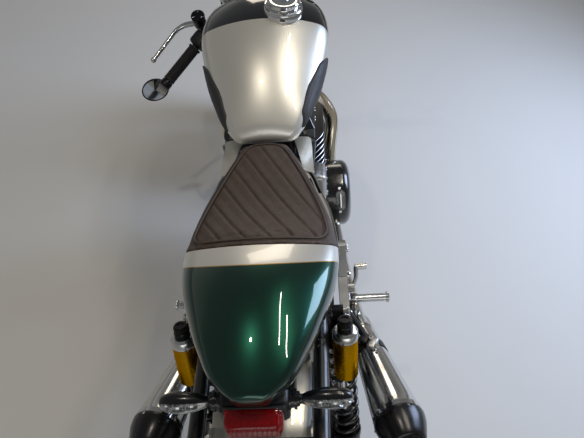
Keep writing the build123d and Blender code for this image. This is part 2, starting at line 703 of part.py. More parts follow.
# Engine
def crankcase():
    case = block((-CASE_WIDTH / 2, CASE_REAR_Y, CASE_BASE_Z), (CASE_WIDTH / 2, CASE_FRONT_Y, CASE_TOP_Z))
    case = chamfer(case.edges().filter_by(Axis.X), CASE_CHAMFER)
    neck = block((-CYLINDER_WIDTH / 2, CYLINDER_REAR_Y, CASE_TOP_Z), (CYLINDER_WIDTH / 2, CYLINDER_FRONT_Y, CASE_TOP_Z + 20))
    pocket = block((-CASE_WIDTH / 2 - 1, CASE_REAR_Y - 1, 308), (-CHAIN_OFFSET + 18, 706, 456))
    return case + neck - pocket


def cylinders():
    low = CASE_TOP_Z + 20
    core = block((-CYLINDER_WIDTH / 2, CYLINDER_REAR_Y, low), (CYLINDER_WIDTH / 2, CYLINDER_FRONT_Y, HEAD_TOP_Z))
    core = chamfer(core.edges().filter_by(Axis.X).group_by(Axis.Z)[-1], 26)
    for index in range(FIN_COUNT):
        z = low + 14 + index * FIN_PITCH
        fin = block((-CYLINDER_WIDTH / 2 - FIN_REACH, CYLINDER_REAR_Y - FIN_REACH, z),
                    (CYLINDER_WIDTH / 2 + FIN_REACH, CYLINDER_FRONT_Y + FIN_REACH, z + FIN_THICKNESS))
        core += fillet(fin.edges().filter_by(Axis.Z), 24)
    return core


def clutch_cover():
    inner = CASE_WIDTH / 2
    return turned((inner, CLUTCH_Y, CLUTCH_Z), (CLUTCH_REACH, CLUTCH_Y, CLUTCH_Z),
                  ((0, COVER_RADIUS), (CLUTCH_REACH - inner - 22, COVER_RADIUS),
                   (CLUTCH_REACH - inner - 8, COVER_RADIUS - 10), (CLUTCH_REACH - inner, COVER_RADIUS - 30)))


def generator_cover():
    inner = CASE_WIDTH / 2
    cover = turned((-inner, CLUTCH_Y + 20, CLUTCH_Z - 8), (-GENERATOR_REACH, CLUTCH_Y + 20, CLUTCH_Z - 8),
                   ((0, COVER_RADIUS - 8), (GENERATOR_REACH - inner - 16, COVER_RADIUS - 10),
                    (GENERATOR_REACH - inner, COVER_RADIUS - 30)))
    return cover


def sprocket_cover():
    rear, front = chain_centres()
    start = Vector(-CASE_WIDTH / 2, front.Y + 12, front.Z)
    return turned(start, start - Vector(24, 0, 0), ((0, 68), (15, 68), (24, 58)))


def radiator(frame):
    core = block((-64, 1034, 470), (64, 1060, 690))
    core = fillet(core.edges().filter_by(Axis.Y), 14)
    lugs = [block((side * 56 - 8, 1000, z), (side * 56 + 8, 1034, z + 14)) for side in (-1, 1) for z in (520, 640)]
    return core + lugs - frame


def throttle_covers():
    cover = block((92, CYLINDER_REAR_Y - 96, 520), (134, CYLINDER_REAR_Y - FIN_REACH, 612))
    return both_sides(fillet(cover.edges(), 9))


# Exhaust
def header_pipes(head, mufflers):
    pipe = bent_tube([*HEADER_ROUTE, SILENCER_START], PIPE_RADIUS) - head - mufflers[0]
    return both_sides(pipe)


def silencer_axis():
    start, end = Vector(SILENCER_START), Vector(SILENCER_END)
    return start, end, (end - start).length


def silencers():
    start, end, length = silencer_axis()
    body = turned(start, end, ((0, SILENCER_INLET_RADIUS), (40, SILENCER_INLET_RADIUS + 2),
                               (length, SILENCER_RADIUS)))
    return both_sides(body)


def end_caps():
    start, end, length = silencer_axis()
    tip = end + (end - start).normalized() * END_CAP_LENGTH
    cap = turned(end, tip, ((0, SILENCER_RADIUS + 2), (20, SILENCER_RADIUS), (END_CAP_LENGTH - 10, END_CAP_RADIUS + 4),
                            (END_CAP_LENGTH, END_CAP_RADIUS)))
    return both_sides(cap - rod(tip - (end - start).normalized() * 40, tip + (end - start), OUTLET_RADIUS))


def silencer_hangers(mufflers, plates):
    arm = rod((PLATE_OUTER - 6, 352, 424), (214, 264, 424), 9)
    clamp = rod((214, 264, 410), (230, 258, 424), 15)
    return both_sides(arm + clamp - mufflers[0] - plates[0])


# Tank, seat and tail: rows give each section as shares of the body's length and sizes
TankSection = namedtuple("TankSection", "along width side top base_width base")
TANK_SECTIONS = (
    TankSection(0.00, 0.43, 0.10, 0.20, 0.36, 0.00),
    TankSection(0.06, 0.57, 0.16, 0.34, 0.46, 0.00),
    TankSection(0.20, 0.76, 0.25, 0.61, 0.58, 0.00),
    TankSection(0.40, 0.94, 0.42, 0.87, 0.72, 0.00),
    TankSection(0.58, 1.02, 0.56, 0.99, 0.76, 0.00),
    TankSection(0.76, 0.95, 0.56, 0.97, 0.70, 0.04),
    TankSection(0.92, 0.74, 0.44, 0.78, 0.52, 0.10),
    TankSection(1.00, 0.54, 0.36, 0.58, 0.40, 0.16),
)


def tank_body(grow=0):
    faces = []
    for row in TANK_SECTIONS:
        faces.append(crown_section(
            tank_rear_y + row.along * TANK_LENGTH, row.width * TANK_HALF_WIDTH + grow,
            TANK_BASE_Z + row.side * TANK_HEIGHT, TANK_BASE_Z + row.top * TANK_HEIGHT + grow,
            row.base_width * TANK_HALF_WIDTH, TANK_BASE_Z + row.base * TANK_HEIGHT - grow, 0.66))
    return loft(faces)


def fuel_tank():
    """The tank, with a tunnel in its floor for the frame's spine."""
    return tank_body() - bent_tube(spine_route(), SPINE_RADIUS + TUNNEL_GAP)


def knee_pads(tank):
    outline = [(tank_rear_y + ahead, TANK_BASE_Z + rise) for ahead, rise in PAD_OUTLINE]
    prism = side_plate(outline, 20, TANK_HALF_WIDTH + 40)
    pad = (tank_body(PAD_THICKNESS) & prism) - tank
    return both_sides(pad)


def filler_plane():
    return Plane(origin=(FILLER_OFFSET, tank_rear_y + FILLER_SHARE * TANK_LENGTH, TANK_BASE_Z + TANK_HEIGHT),
                 x_dir=(1, 0, 0), z_dir=(0.1, -0.02, 1))


def filler_hinge(radius, half_length):
    height = FILLER_HEIGHT - 6 + 5.5
    return rod((-half_length, LID_RADIUS + 3, height), (half_length, LID_RADIUS + 3, height), radius)


def filler_base(tank):
    """The filler's collar on the tank, with two ears and a pin for the lid."""
    top = FILLER_HEIGHT - 6
    collar = Pos(0, 0, top - FILLER_HEIGHT) * Cylinder(FILLER_RADIUS, 2 * FILLER_HEIGHT)
    ears = [block((side * 13 - 2.5, LID_RADIUS - 2, top - 1), (side * 13 + 2.5, LID_RADIUS + 7, top + 10))
            for side in (-1, 1)]
    return filler_plane() * (collar + ears + filler_hinge(LID_PIN_RADIUS, 14)) - tank


def filler_lid():
    seat = FILLER_HEIGHT - 6 + PART_GAP
    plate = Pos(0, 0, seat + LID_HEIGHT / 2) * Cylinder(LID_RADIUS, LID_HEIGHT)
    plate = fillet(plate.edges().group_by(Axis.Z)[-1], 4)
    ears = [block((side * 13 - 3.5, LID_RADIUS - 4, seat), (side * 13 + 3.5, LID_RADIUS + 9, seat + 20))
            for side in (-1, 1)]
    neck = block((-9, LID_RADIUS - 6, seat + 1), (9, LID_RADIUS + 3, seat + 9))
    knuckle = filler_hinge(4.5, 9) + neck - filler_hinge(LID_PIN_RADIUS + HINGE_GAP, 20)
    return filler_plane() * (plate - ears + knuckle)


# Seat rows run from the leaning face at 0 to the nose at 1, tail rows from it to the tip
HumpSection = namedtuple("HumpSection", "along half_width side top base_half base")
SEAT_SECTIONS = (
    HumpSection(1.000, 0.36, 36, 52, 0.29, 0),
    HumpSection(0.858, 0.52, 30, 49, 0.44, 0),
    HumpSection(0.650, 0.73, 22, 46, 0.65, 0),
    HumpSection(0.442, 0.90, 18, 48, 0.82, 0),
    HumpSection(0.234, 0.99, 22, 68, 0.90, 0),
    HumpSection(0.056, 1.00, 32, 97, 0.90, 0),
    HumpSection(-0.122, 0.94, 46, 116, 0.84, 0),
)
TAIL_SECTIONS = (
    HumpSection(-0.208, 0.99, 26, 78, 0.90, 0),
    HumpSection(0.000, 0.985, 36, 102, 0.88, 0),
    HumpSection(0.191, 0.93, 48, 119, 0.82, 0),
    HumpSection(0.463, 0.77, 66, 128, 0.66, 8),
    HumpSection(0.710, 0.58, 82, 122, 0.48, 32),
    HumpSection(0.901, 0.375, 90, 110, 0.30, 48),
    HumpSection(1.000, 0.17, 93, 102, 0.13, 66),
)


def hump_body(sections, end_y):
    """The seat or tail body from the leaning face to an end: heights are over the seat's base."""
    return loft([crown_section(HUMP_FACE_Y + row.along * (end_y - HUMP_FACE_Y), row.half_width * SEAT_HALF_WIDTH,
                               seat_base_z + row.side, seat_base_z + row.top, row.base_half * SEAT_HALF_WIDTH,
                               seat_base_z + row.base, 0.7) for row in sections])


def hump_side(forward):
    """A large block on one side of the leaning face where the seat meets the tail."""
    plane = Plane(origin=(0, HUMP_FACE_Y, seat_base_z + HUMP_FACE_RISE), x_dir=(1, 0, 0),
                  z_dir=(0, cos(radians(HUMP_FACE_TILT)), sin(radians(HUMP_FACE_TILT))))
    shift = 400 + PART_GAP / 2 if forward else -400 - PART_GAP / 2
    return plane * Pos(0, 0, shift) * Box(800, 800, 800)


def seat_pad():
    return hump_body(SEAT_SECTIONS, seat_nose_y) & hump_side(True)


def tail_cowl():
    return hump_body(TAIL_SECTIONS, TAIL_TIP_Y) & hump_side(False)


def seat_tray(subframe, cowl):
    """The tray between the rails and what they carry, cut to sit on the tubes."""
    top = seat_base_z
    tray = Part() + [
        block((-96, 300, top - TRAY_THICKNESS), (96, 430, top)),
        block((-46, 430, top - TRAY_THICKNESS), (46, 556, top)),
        block((-96, 130, top - TRAY_THICKNESS), (96, 300, top)),
        block((-66, 60, top - TRAY_THICKNESS), (66, 130, top)),
        block((-62, LAMP_BASE_Y, top - TRAY_THICKNESS), (62, 60, top + 24)),
    ]
    return tray - subframe - cowl


def panel_strip(near, far, low, high):
    """A wall that follows the side panel's plan, between two distances inside its outer face."""
    outer = [(x - near, y) for x, y in PANEL_PLAN]
    inner = [(x - far, y) for x, y in reversed(PANEL_PLAN)]
    return Pos(0, 0, low) * extrude(make_face(Polyline(*outer, *inner, close=True)), high - low)


def side_panels(subframe):
    """Thin covers beside the seat's nose: a flat top and a deep flank, pegged to the rails."""
    top = seat_base_z - SEAT_GAP
    shell = panel_strip(0, PANEL_WIDTH, top - 200, top) - panel_strip(PANEL_WALL, 60, top - 201, top - PANEL_WALL)
    shell &= side_plate(PANEL_OUTLINE, 0, 200)
    pegs = [rod((x, y, z), (SEAT_HALF_WIDTH, y, z), 6) for x, y, z in PANEL_PEGS]
    keep = panel_strip(1, 90, top - 200, top - 1)
    return both_sides(shell + [(peg & keep) for peg in pegs] - subframe)


# Tail pieces
def rear_mudguard(subframe):
    shell = wheel_guard(REAR_GUARD_RADIUS - REAR_GUARD_CROWN, REAR_GUARD_HALF_WIDTH, REAR_GUARD_CROWN,
                        MUDGUARD_WALL, rear_axle, REAR_GUARD_START, REAR_GUARD_END)
    ears = []
    for side in (-1, 1):
        for y in (110, -40):
            z = rear_axle.Z + sqrt((REAR_GUARD_RADIUS - REAR_GUARD_CROWN) ** 2 - y * y)
            ears.append(block((side * 91 - 7, y - 12, z - 6), (side * 91 + 7, y + 12, RAIL_HEIGHT + 14)))
    return Part() + [shell, *ears] - subframe


def tail_lamp_base(cowl):
    base = block((-LAMP_HALF_WIDTH - 8, -42, lamp_z - 36), (LAMP_HALF_WIDTH + 8, LAMP_BASE_Y, lamp_z + 24))
    return fillet(base.edges().filter_by(Axis.Y), 8) - cowl


def tail_lamp_lens():
    lens = block((-LAMP_HALF_WIDTH, -42 - LAMP_DEPTH, lamp_z - LAMP_HEIGHT / 2),
                 (LAMP_HALF_WIDTH, -42, lamp_z + LAMP_HEIGHT / 2))
    return fillet(lens.edges().group_by(Axis.Y)[0], 9)


def rear_indicators():
    y = -22
    start = LAMP_HALF_WIDTH + 8
    root = rod((start, y, lamp_z), (start + 26, y, lamp_z), 9)
    lamp = turned((start + 22, y, lamp_z), (INDICATOR_REACH, y, lamp_z),
                  ((0, 9), (20, 17), (INDICATOR_REACH - start - 42, 18), (INDICATOR_REACH - start - 22, 8)))
    return both_sides(root + lamp)


def guard_end():
    """The middle of the rear mudguard's lower edge."""
    turn = radians(REAR_GUARD_END)
    return Vector(0, REAR_GUARD_RADIUS * cos(turn), rear_axle.Z + REAR_GUARD_RADIUS * sin(turn))


def plate_plane():
    """The number plate's face, which looks back and a little up."""
    return Plane(origin=guard_end() + Vector(0, -30, -60), x_dir=(1, 0, 0), z_dir=(0, -1, 0.35))


def plate_bracket():
    """A bare number plate on an arm from the mudguard's end."""
    tilt, top = plate_plane(), guard_end()
    plate = tilt * Box(PLATE_WIDTH, PLATE_HEIGHT, PLATE_THICKNESS)
    back = tilt * Pos(0, 20, -6) * Box(60, 70, 9)
    arm = block((-22, top.Y - 34, top.Z - 60), (22, top.Y + 4, top.Z - 4))
    holes = [tilt * Pos(side * PLATE_HOLE_SPREAD, PLATE_HOLE_HEIGHT, 0) * Cylinder(PLATE_HOLE_RADIUS, 40)
             for side in (-1, 1)]
    guard = rod(rear_axle - Vector(100, 0, 0), rear_axle + Vector(100, 0, 0), REAR_GUARD_RADIUS - 2)
    return plate + back + (arm - guard) - holes


# Suspension
def shock_parts():
    top, foot = Vector(SHOCK_TOP), Vector(SHOCK_FOOT)
    down = (foot - top).normalized()
    length = (foot - top).length
    return top, foot, down, length


def shock_bodies(cans):
    top, foot, down, length = shock_parts()
    head = top + down * 26
    collar = top + down * 62
    base = foot - down * 34
    body = rod(head, collar, 27) + rod(collar, foot - down * 60, 17) + rod(foot - down * 60, base, 30)
    body += rod(base, foot - down * 2, 12)
    body += rod(top + down * 2, head, 14)
    for end in (top, foot):
        body += rod(end - Vector(11, 0, 0), end + Vector(11, 0, 0), 16)
    can_bottom, can_axis = reservoir_line()
    body += rod(top + down * 44, can_bottom + can_axis * (RESERVOIR_LENGTH - 24), 15)
    body -= rod(top - Vector(30, 0, 0), top + Vector(30, 0, 0), 9)
    body -= rod(foot - Vector(30, 0, 0), foot + Vector(30, 0, 0), 8)
    return both_sides(body - cans[0])


def springs():
    top, foot, down, length = shock_parts()
    start, end = top + down * 64, foot - down * 62
    pitch = (end - start).length / SPRING_TURNS
    groove = SPRING_RADIUS - SPRING_WIRE_RADIUS
    outline = []
    for turn in range(SPRING_TURNS):
        low = turn * pitch
        outline += [(low, groove), (low + pitch * 0.2, groove), (low + pitch * 0.3, SPRING_RADIUS),
                    (low + pitch * 0.7, SPRING_RADIUS), (low + pitch * 0.8, groove)]
    outline.append((SPRING_TURNS * pitch, groove))
    sleeve = turned(start, end, outline) - rod(start, end, SPRING_RADIUS - 2 * SPRING_WIRE_RADIUS)
    return both_sides(sleeve)


def reservoir_line():
    return Vector(RESERVOIR_FOOT), Vector(0, 0.33, 0.94).normalized()


def reservoirs():
    bottom, axis = reservoir_line()
    can = rod(bottom, bottom + axis * RESERVOIR_LENGTH, RESERVOIR_RADIUS)
    return both_sides(can)


def reservoir_caps():
    bottom, axis = reservoir_line()
    top = bottom + axis * RESERVOIR_LENGTH
    cap = rod(top, top + axis * 12, RESERVOIR_RADIUS - 1) + rod(top + axis * 12, top + axis * 26, KNOB_RADIUS)
    return both_sides(cap)


def rear_caliper():
    body = block((REAR_DISC_OFFSET - 16, 62, rear_axle.Z + 44), (REAR_DISC_OFFSET + 20, 120, rear_axle.Z + 104))
    gap = DISC_THICKNESS / 2 + 2
    slot = Pos(rear_axle) * rod((REAR_DISC_OFFSET - gap, 0, 0), (REAR_DISC_OFFSET + gap + 1, 0, 0), REAR_DISC_RADIUS + 6)
    stay = block((REAR_DISC_OFFSET + 10, 90, rear_axle.Z + 20), (ARM_OFFSET - ARM_WIDTH / 2, 116, rear_axle.Z + 60))
    return body + stay - slot


def chain_centres():
    return Vector(-CHAIN_OFFSET, 0, rear_axle.Z), Vector(-CHAIN_OFFSET, 636, 392)


def loop_face(rear_radius, front_radius):
    """The outline of a belt round the two sprockets, in the chain's own plane."""
    rear, front = chain_centres()
    gap = front - rear
    span = hypot(gap.Y, gap.Z)
    slope = atan2(gap.Z, gap.Y)
    tilt = asin((rear_radius - front_radius) / span)

    def rim_point(centre, radius, angle):
        return (centre.Y + radius * cos(angle), centre.Z + radius * sin(angle))

    upper, lower = slope + radians(90) - tilt, slope - radians(90) + tilt
    back = slope + radians(180)
    edges = [
        ThreePointArc(rim_point(rear, rear_radius, upper), rim_point(rear, rear_radius, back),
                      rim_point(rear, rear_radius, lower)),
        Line(rim_point(rear, rear_radius, lower), rim_point(front, front_radius, lower)),
        ThreePointArc(rim_point(front, front_radius, lower), rim_point(front, front_radius, slope),
                      rim_point(front, front_radius, upper)),
        Line(rim_point(front, front_radius, upper), rim_point(rear, rear_radius, upper)),
    ]
    return make_face(edges)


def chain():
    inner_rear = REAR_SPROCKET_RADIUS + SPROCKET_GAP
    inner_front = FRONT_SPROCKET_RADIUS + SPROCKET_GAP
    outer = loop_face(inner_rear + CHAIN_HEIGHT, inner_front + CHAIN_HEIGHT)
    inner = loop_face(inner_rear, inner_front)
    band = Plane.YZ * (outer - inner)
    return Pos(-CHAIN_OFFSET - CHAIN_WIDTH / 2, 0, 0) * extrude(band, CHAIN_WIDTH)


def chain_guard(arms):
    top = rear_axle.Z + REAR_SPROCKET_RADIUS + SPROCKET_GAP + CHAIN_HEIGHT
    outline = ((-40, top + 7), (340, top + 17), (340, top + 21), (-40, top + 11))
    cover = side_plate(outline, -CHAIN_OFFSET - CHAIN_WIDTH / 2 - 6, -REAR.tyre_width / 2 - 6)
    stay = block((-ARM_OFFSET - 2, 288, 370), (-CHAIN_OFFSET - CHAIN_WIDTH / 2 - 2, 310, top + 17))
    return cover + stay - arms


# Rider controls
def rearset_plates(frame):
    outline = ((524, 500), (544, 452), (470, 364), (410, 364), (352, 392), (318, 408), (330, 446), (440, 452), (500, 512))
    plate = side_plate(outline, PLATE_INNER, PLATE_OUTER)
    posts = [rod((PIVOT_PLATE_OFFSET, y, z), (PLATE_INNER + 2, y, z), 9) for y, z in ((504, 482), (528, 470))]
    return both_sides(fillet(plate.edges().filter_by(Axis.X), 8) + posts - frame)


def footpegs():
    root, tip = Vector(PEG_ROOT), Vector(PEG_TIP)
    along = (tip - root).normalized()
    clevis = block((PLATE_OUTER, root.Y - 15, root.Z - 14), (PLATE_OUTER + 24, root.Y + 14, root.Z + 14))
    peg = rod(root, tip, PEG_RADIUS) + rod(tip - along * 5, tip, PEG_RADIUS + 4)
    return both_sides(clevis + peg)


def foot_lever(side, toe_radius):
    """A foot lever from its pivot on the rear set to its toe peg."""
    lever = bent_tube([(side * 190, 454, 378), (side * 206, 508, 348), (side * 208, 558, 328)], 6.5)
    toe = rod((side * 206, 562, 327), (side * 238, 566, 326), toe_radius)
    boss = rod((side * PLATE_OUTER, 454, 378), (side * 196, 454, 378), 13)
    return lever + toe + boss


# Stance: lean to the left and pitch until both tyres and the stand's foot meet the floor
def tyre_drop(wheel, axle_direction):
    """How far a tyre reaches below its axle on a level floor, its axle leaning."""
    crown = crown_radius(wheel.tyre_width / 2, wheel.crown_rise, TYRE_SHOULDER)
    slant = axle_direction.normalized().Z
    return (wheel.tyre_radius - crown) * sqrt(1 - slant * slant) + crown


def parked_location():
    lean = Location((0, 0, 0), (0, -LEAN_ANGLE, 0))
    steered = Vector(1, 0, 0).rotate(Axis((0, 0, 0), steering_up), STEER_LOCK)
    steering_line = Axis(steering_foot, steering_up)
    front = Vertex(*front_axle).rotate(steering_line, STEER_LOCK).center()
    pitch = 0.0
    for attempt in range(6):
        stance = Location((0, 0, 0), (pitch, 0, 0)) * lean
        turn = lambda vector: (stance * Location(vector)).position
        rear_low = turn(rear_axle).Z - tyre_drop(REAR, turn(Vector(1, 0, 0)))
        front_low = turn(front).Z - tyre_drop(FRONT, turn(steered))
        pitch -= degrees(atan2(front_low - rear_low, WHEELBASE))
    return Location((0, 0, -rear_low)) * stance


parked = parked_location()
upright = parked.inverse()
floor_up = (upright * Location((0, 0, 1))).position - (upright * Location((0, 0, 0))).position


def floor_height(x, y):
    """The floor's height under a point of the upright machine."""
    base = (upright * Location((0, 0, 0))).position
    return base.Z - ((x - base.X) * floor_up.X + (y - base.Y) * floor_up.Y) / floor_up.Z


stand_pivot = Vector(STAND_PIVOT)
stand_foot = Vector(STAND_FOOT_X, STAND_FOOT_Y, floor_height(STAND_FOOT_X, STAND_FOOT_Y))
stand_down = (stand_foot - stand_pivot).normalized()
stand_up = Vector(STAND_STOWED).normalized()
stand_chord = (stand_down - stand_up).normalized()
stand_axis = (Vector(1, 0, 0) - stand_chord * stand_chord.X).normalized()


def stand_swing():
    """Degrees from down to stowed, by the right-hand rule about the stand's axis."""
    flat_down = stand_down - stand_axis * stand_down.dot(stand_axis)
    flat_up = stand_up - stand_axis * stand_up.dot(stand_axis)
    turn = flat_down.get_angle(flat_up)
    return turn if flat_down.cross(flat_up).dot(stand_axis) > 0 else -turn


def side_stand():
    sole = Plane(origin=stand_foot, x_dir=(1, 0, 0), z_dir=floor_up)
    pad = sole * Pos(0, 0, STAND_PAD[2] / 2) * Box(*STAND_PAD)
    ankle = stand_foot + floor_up * STAND_PAD[2]
    leg = rod(stand_pivot, ankle, STAND_RADIUS)
    leg -= sole * Pos(0, 0, -50) * Box(300, 300, 100)
    boss = rod(stand_line(-STAND_BOSS / 2), stand_line(STAND_BOSS / 2), 17)
    pin = rod(stand_line(-STAND_BOSS), stand_line(STAND_BOSS), STAND_PIN_RADIUS + HINGE_GAP)
    return pad + leg + boss - pin


def steered(shapes):
    """Pieces of the steering, turned on to the left stop."""
    line = Axis(steering_foot, steering_up)
    return [shape.rotate(line, STEER_LOCK) for shape in shapes]


def solids_of(shape):
    return list(shape) if isinstance(shape, (list, tuple)) else [shape]


tank = fuel_tank()
spine = main_frame()
right = right_cradle(spine)
cradles = (right, left_cradle(right))
frame = Part() + [spine, *cradles]
subframe = rear_subframe(frame)
arms = swingarm()
head = cylinders()
mufflers = silencers()
cans = reservoirs()
plates = rearset_plates(frame)
legs = fork_legs()
cowl = tail_cowl()
FIXED = {
    "main_frame": spine,
    "frame_cradle_right": cradles[0],
    "frame_cradle_left": cradles[1],
    "rear_subframe": subframe,
    "swingarm": arms,
    "rear_axle_and_pivot": [axle_bar(rear_axle, ARM_OFFSET + 24), pivot_bolt()],
    "crankcase": crankcase(),
    "finned_cylinders": head,
    "engine_covers": [clutch_cover(), generator_cover(), sprocket_cover()],
    "radiator": radiator(frame),
    "throttle_covers": throttle_covers(),
    "header_pipes": header_pipes(head, mufflers),
    "silencers": mufflers,
    "silencer_end_caps": end_caps(),
    "silencer_hangers": silencer_hangers(mufflers, plates),
    "fuel_tank": tank,
    "knee_pads": knee_pads(tank),
    "filler_base": filler_base(tank),
    "seat_pad": seat_pad(),
    "seat_tray": seat_tray(subframe, cowl),
    "tail_cowl": cowl,
    "side_panels": side_panels(subframe),
    "rear_mudguard": rear_mudguard(subframe),
    "tail_lamp_base": tail_lamp_base(cowl),
    "tail_lamp_lens": tail_lamp_lens(),
    "rear_indicators": rear_indicators(),
    "plate_bracket": plate_bracket(),
    "shock_bodies": shock_bodies(cans) + reservoir_caps(),
    "shock_springs": springs(),
    "shock_reservoirs": cans,
    "rear_caliper": rear_caliper(),
    "drive_chain": chain(),
    "chain_guard": chain_guard(arms),
    "rearset_plates": plates,
    "footpegs": footpegs(),
    "foot_levers": [foot_lever(1, 10), foot_lever(-1, 9)],
    "side_stand": side_stand(),
    "filler_lid": filler_lid(),
    "rear_tyre": tyre(REAR, rear_axle),
    "rear_wire_wheel": wire_wheel(REAR, rear_axle),
    "rear_disc": rear_disc(),
    "rear_sprocket": sprocket(),
}
TURNING = {
    "fork_legs": legs,
    "fork_yokes": yokes(),
    "clip_on_bars": clip_ons(),
    "grips": grips(),
    "bar_controls": switch_gear(),
    "bar_end_mirrors": mirrors(),
    "instruments": instruments(),
    "headlamp": headlamp(),
    "headlamp_lens": headlamp_lens(),
    "front_mudguard": front_mudguard(legs),
    "front_calipers": calipers(),
    "front_indicators": front_indicators(),
    "front_axle": axle_bar(front_axle, FORK_SPREAD + 24),
    "front_tyre": tyre(FRONT, front_axle),
    "front_wire_wheel": wire_wheel(FRONT, front_axle),
    "front_discs": front_discs(),
}

nodes = {name: solids_of(shape) for name, shape in FIXED.items()}
nodes |= {name: steered(solids_of(shape)) for name, shape in TURNING.items()}

# Place: the middle of the parked machine's box is above the origin, its wheels on Z = 0
standing = {name: [parked * shape for shape in shapes] for name, shapes in nodes.items()}
whole = Compound([solid for shapes in standing.values() for shape in shapes for solid in shape.solids()])
outer_box = whole.bounding_box()
centred = Location((-outer_box.center().X, -outer_box.center().Y, 0))
placement = centred * parked

os.makedirs("parts", exist_ok=True)
for name, shapes in standing.items():
    placed = [centred * solid for shape in shapes for solid in shape.solids()]
    export_step(Compound(placed) if len(placed) > 1 else placed[0], f"parts/{name}.step")
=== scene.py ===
"""The looks of a parked cafe racer motorcycle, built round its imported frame.

Every piece is drawn in millimetres on the upright machine (X to the right, Y forward, Z up, the
rear axle above the origin) and is then leaned over with it on to its side stand.
"""

import json
import logging
import math
from dataclasses import dataclass
from enum import Enum
from typing import Any, Callable, Iterable, Sequence

import bmesh
import bpy
import numpy as np
from mathutils import Matrix, Vector
from mathutils.geometry import tessellate_polygon

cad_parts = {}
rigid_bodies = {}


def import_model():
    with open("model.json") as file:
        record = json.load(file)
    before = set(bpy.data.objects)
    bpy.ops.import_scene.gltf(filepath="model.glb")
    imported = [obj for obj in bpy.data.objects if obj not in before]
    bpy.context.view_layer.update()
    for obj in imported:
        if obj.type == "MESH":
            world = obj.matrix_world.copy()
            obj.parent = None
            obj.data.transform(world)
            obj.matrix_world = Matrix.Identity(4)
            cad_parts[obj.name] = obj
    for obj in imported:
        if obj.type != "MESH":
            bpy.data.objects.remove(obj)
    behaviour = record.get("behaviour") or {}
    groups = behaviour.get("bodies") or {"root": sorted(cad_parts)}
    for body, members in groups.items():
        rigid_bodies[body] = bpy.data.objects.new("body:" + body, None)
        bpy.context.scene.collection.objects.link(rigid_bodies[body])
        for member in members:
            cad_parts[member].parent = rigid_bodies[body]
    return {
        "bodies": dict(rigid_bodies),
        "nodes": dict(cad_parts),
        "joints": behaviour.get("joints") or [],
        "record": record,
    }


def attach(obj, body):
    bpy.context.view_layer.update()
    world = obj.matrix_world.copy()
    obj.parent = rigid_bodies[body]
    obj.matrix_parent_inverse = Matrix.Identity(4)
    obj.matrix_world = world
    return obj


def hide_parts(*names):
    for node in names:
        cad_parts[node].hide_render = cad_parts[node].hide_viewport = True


log = logging.getLogger("cafe_racer")

# The shapes are laid out in millimetres, the scene is in metres
MM = 0.001
Point = Sequence[float]
Outline = list[tuple[float, float]]

ACROSS = Vector((1, 0, 0))
AHEAD = Vector((0, 1, 0))
UP = Vector((0, 0, 1))
# Stands a flat outline up along the machine: its x looks ahead, its y up and its thickness right
SIDEWAYS = Matrix(((0, 0, 1), (1, 0, 0), (0, 1, 0))).to_4x4()

RAKE = math.radians(22.8)
STEER_LOCK = math.radians(28)
# Where the steering's axis meets the floor
STEERING_FOOT = Vector((0, 1507, 0))
REAR_AXLE = Vector((0, 0, 311.9))
FRONT_AXLE = Vector((0, 1415, 299.9))
# How far the fork legs stand ahead of the steering's axis, and how far up it the front axle is
FORK_OFFSET = 31.4
AXLE_HEIGHT = 312.1
# From the steering's own axes (across, ahead, up the steering) to the upright machine
STEERING_PLACE = Matrix.Translation(STEERING_FOOT) @ Matrix.Rotation(RAKE, 4, "X")


class Body(Enum):
    """The bodies that the drawn pieces ride on."""

    CHASSIS = "chassis"
    REAR_WHEEL = "rear_wheel"
    STEERING = "steering"
    FRONT_WHEEL = "front_wheel"
    LID = "filler_lid"


class Grain(Enum):
    """How the small relief of a surface was made."""

    NONE = "none"
    SPRAYED = "sprayed"
    CAST = "cast"
    LEATHER = "leather"
    BRUSHED = "brushed"


def linear(colour: str) -> tuple[float, float, float, float]:
    """An sRGB hex colour as linear red, green, blue and full alpha.

    Args:
        colour: six hex digits after a hash.

    Returns:
        The four linear values.
    """
    parts = [int(colour[i : i + 2], 16) / 255 for i in (1, 3, 5)]
    return (*(c / 12.92 if c <= 0.04045 else ((c + 0.055) / 1.055) ** 2.4 for c in parts), 1.0)


def add_node(
        tree: bpy.types.NodeTree, kind: str, settings: dict | None = None, links: dict | None = None) -> Any:
    """Adds a node with its settings and links.

    Args:
        tree: the node tree.
        kind: the node's type name.
        settings: input names or numbers and attribute names, with their values.
        links: input names or numbers, with the sockets that feed them.

    Returns:
        The new node.
    """
    node = tree.nodes.new(kind)
    for key, value in (settings or {}).items():
        if isinstance(key, str) and hasattr(node, key):
            setattr(node, key, value)
        else:
            node.inputs[key].default_value = value
    for key, source in (links or {}).items():
        tree.links.new(source, node.inputs[key])
    return node


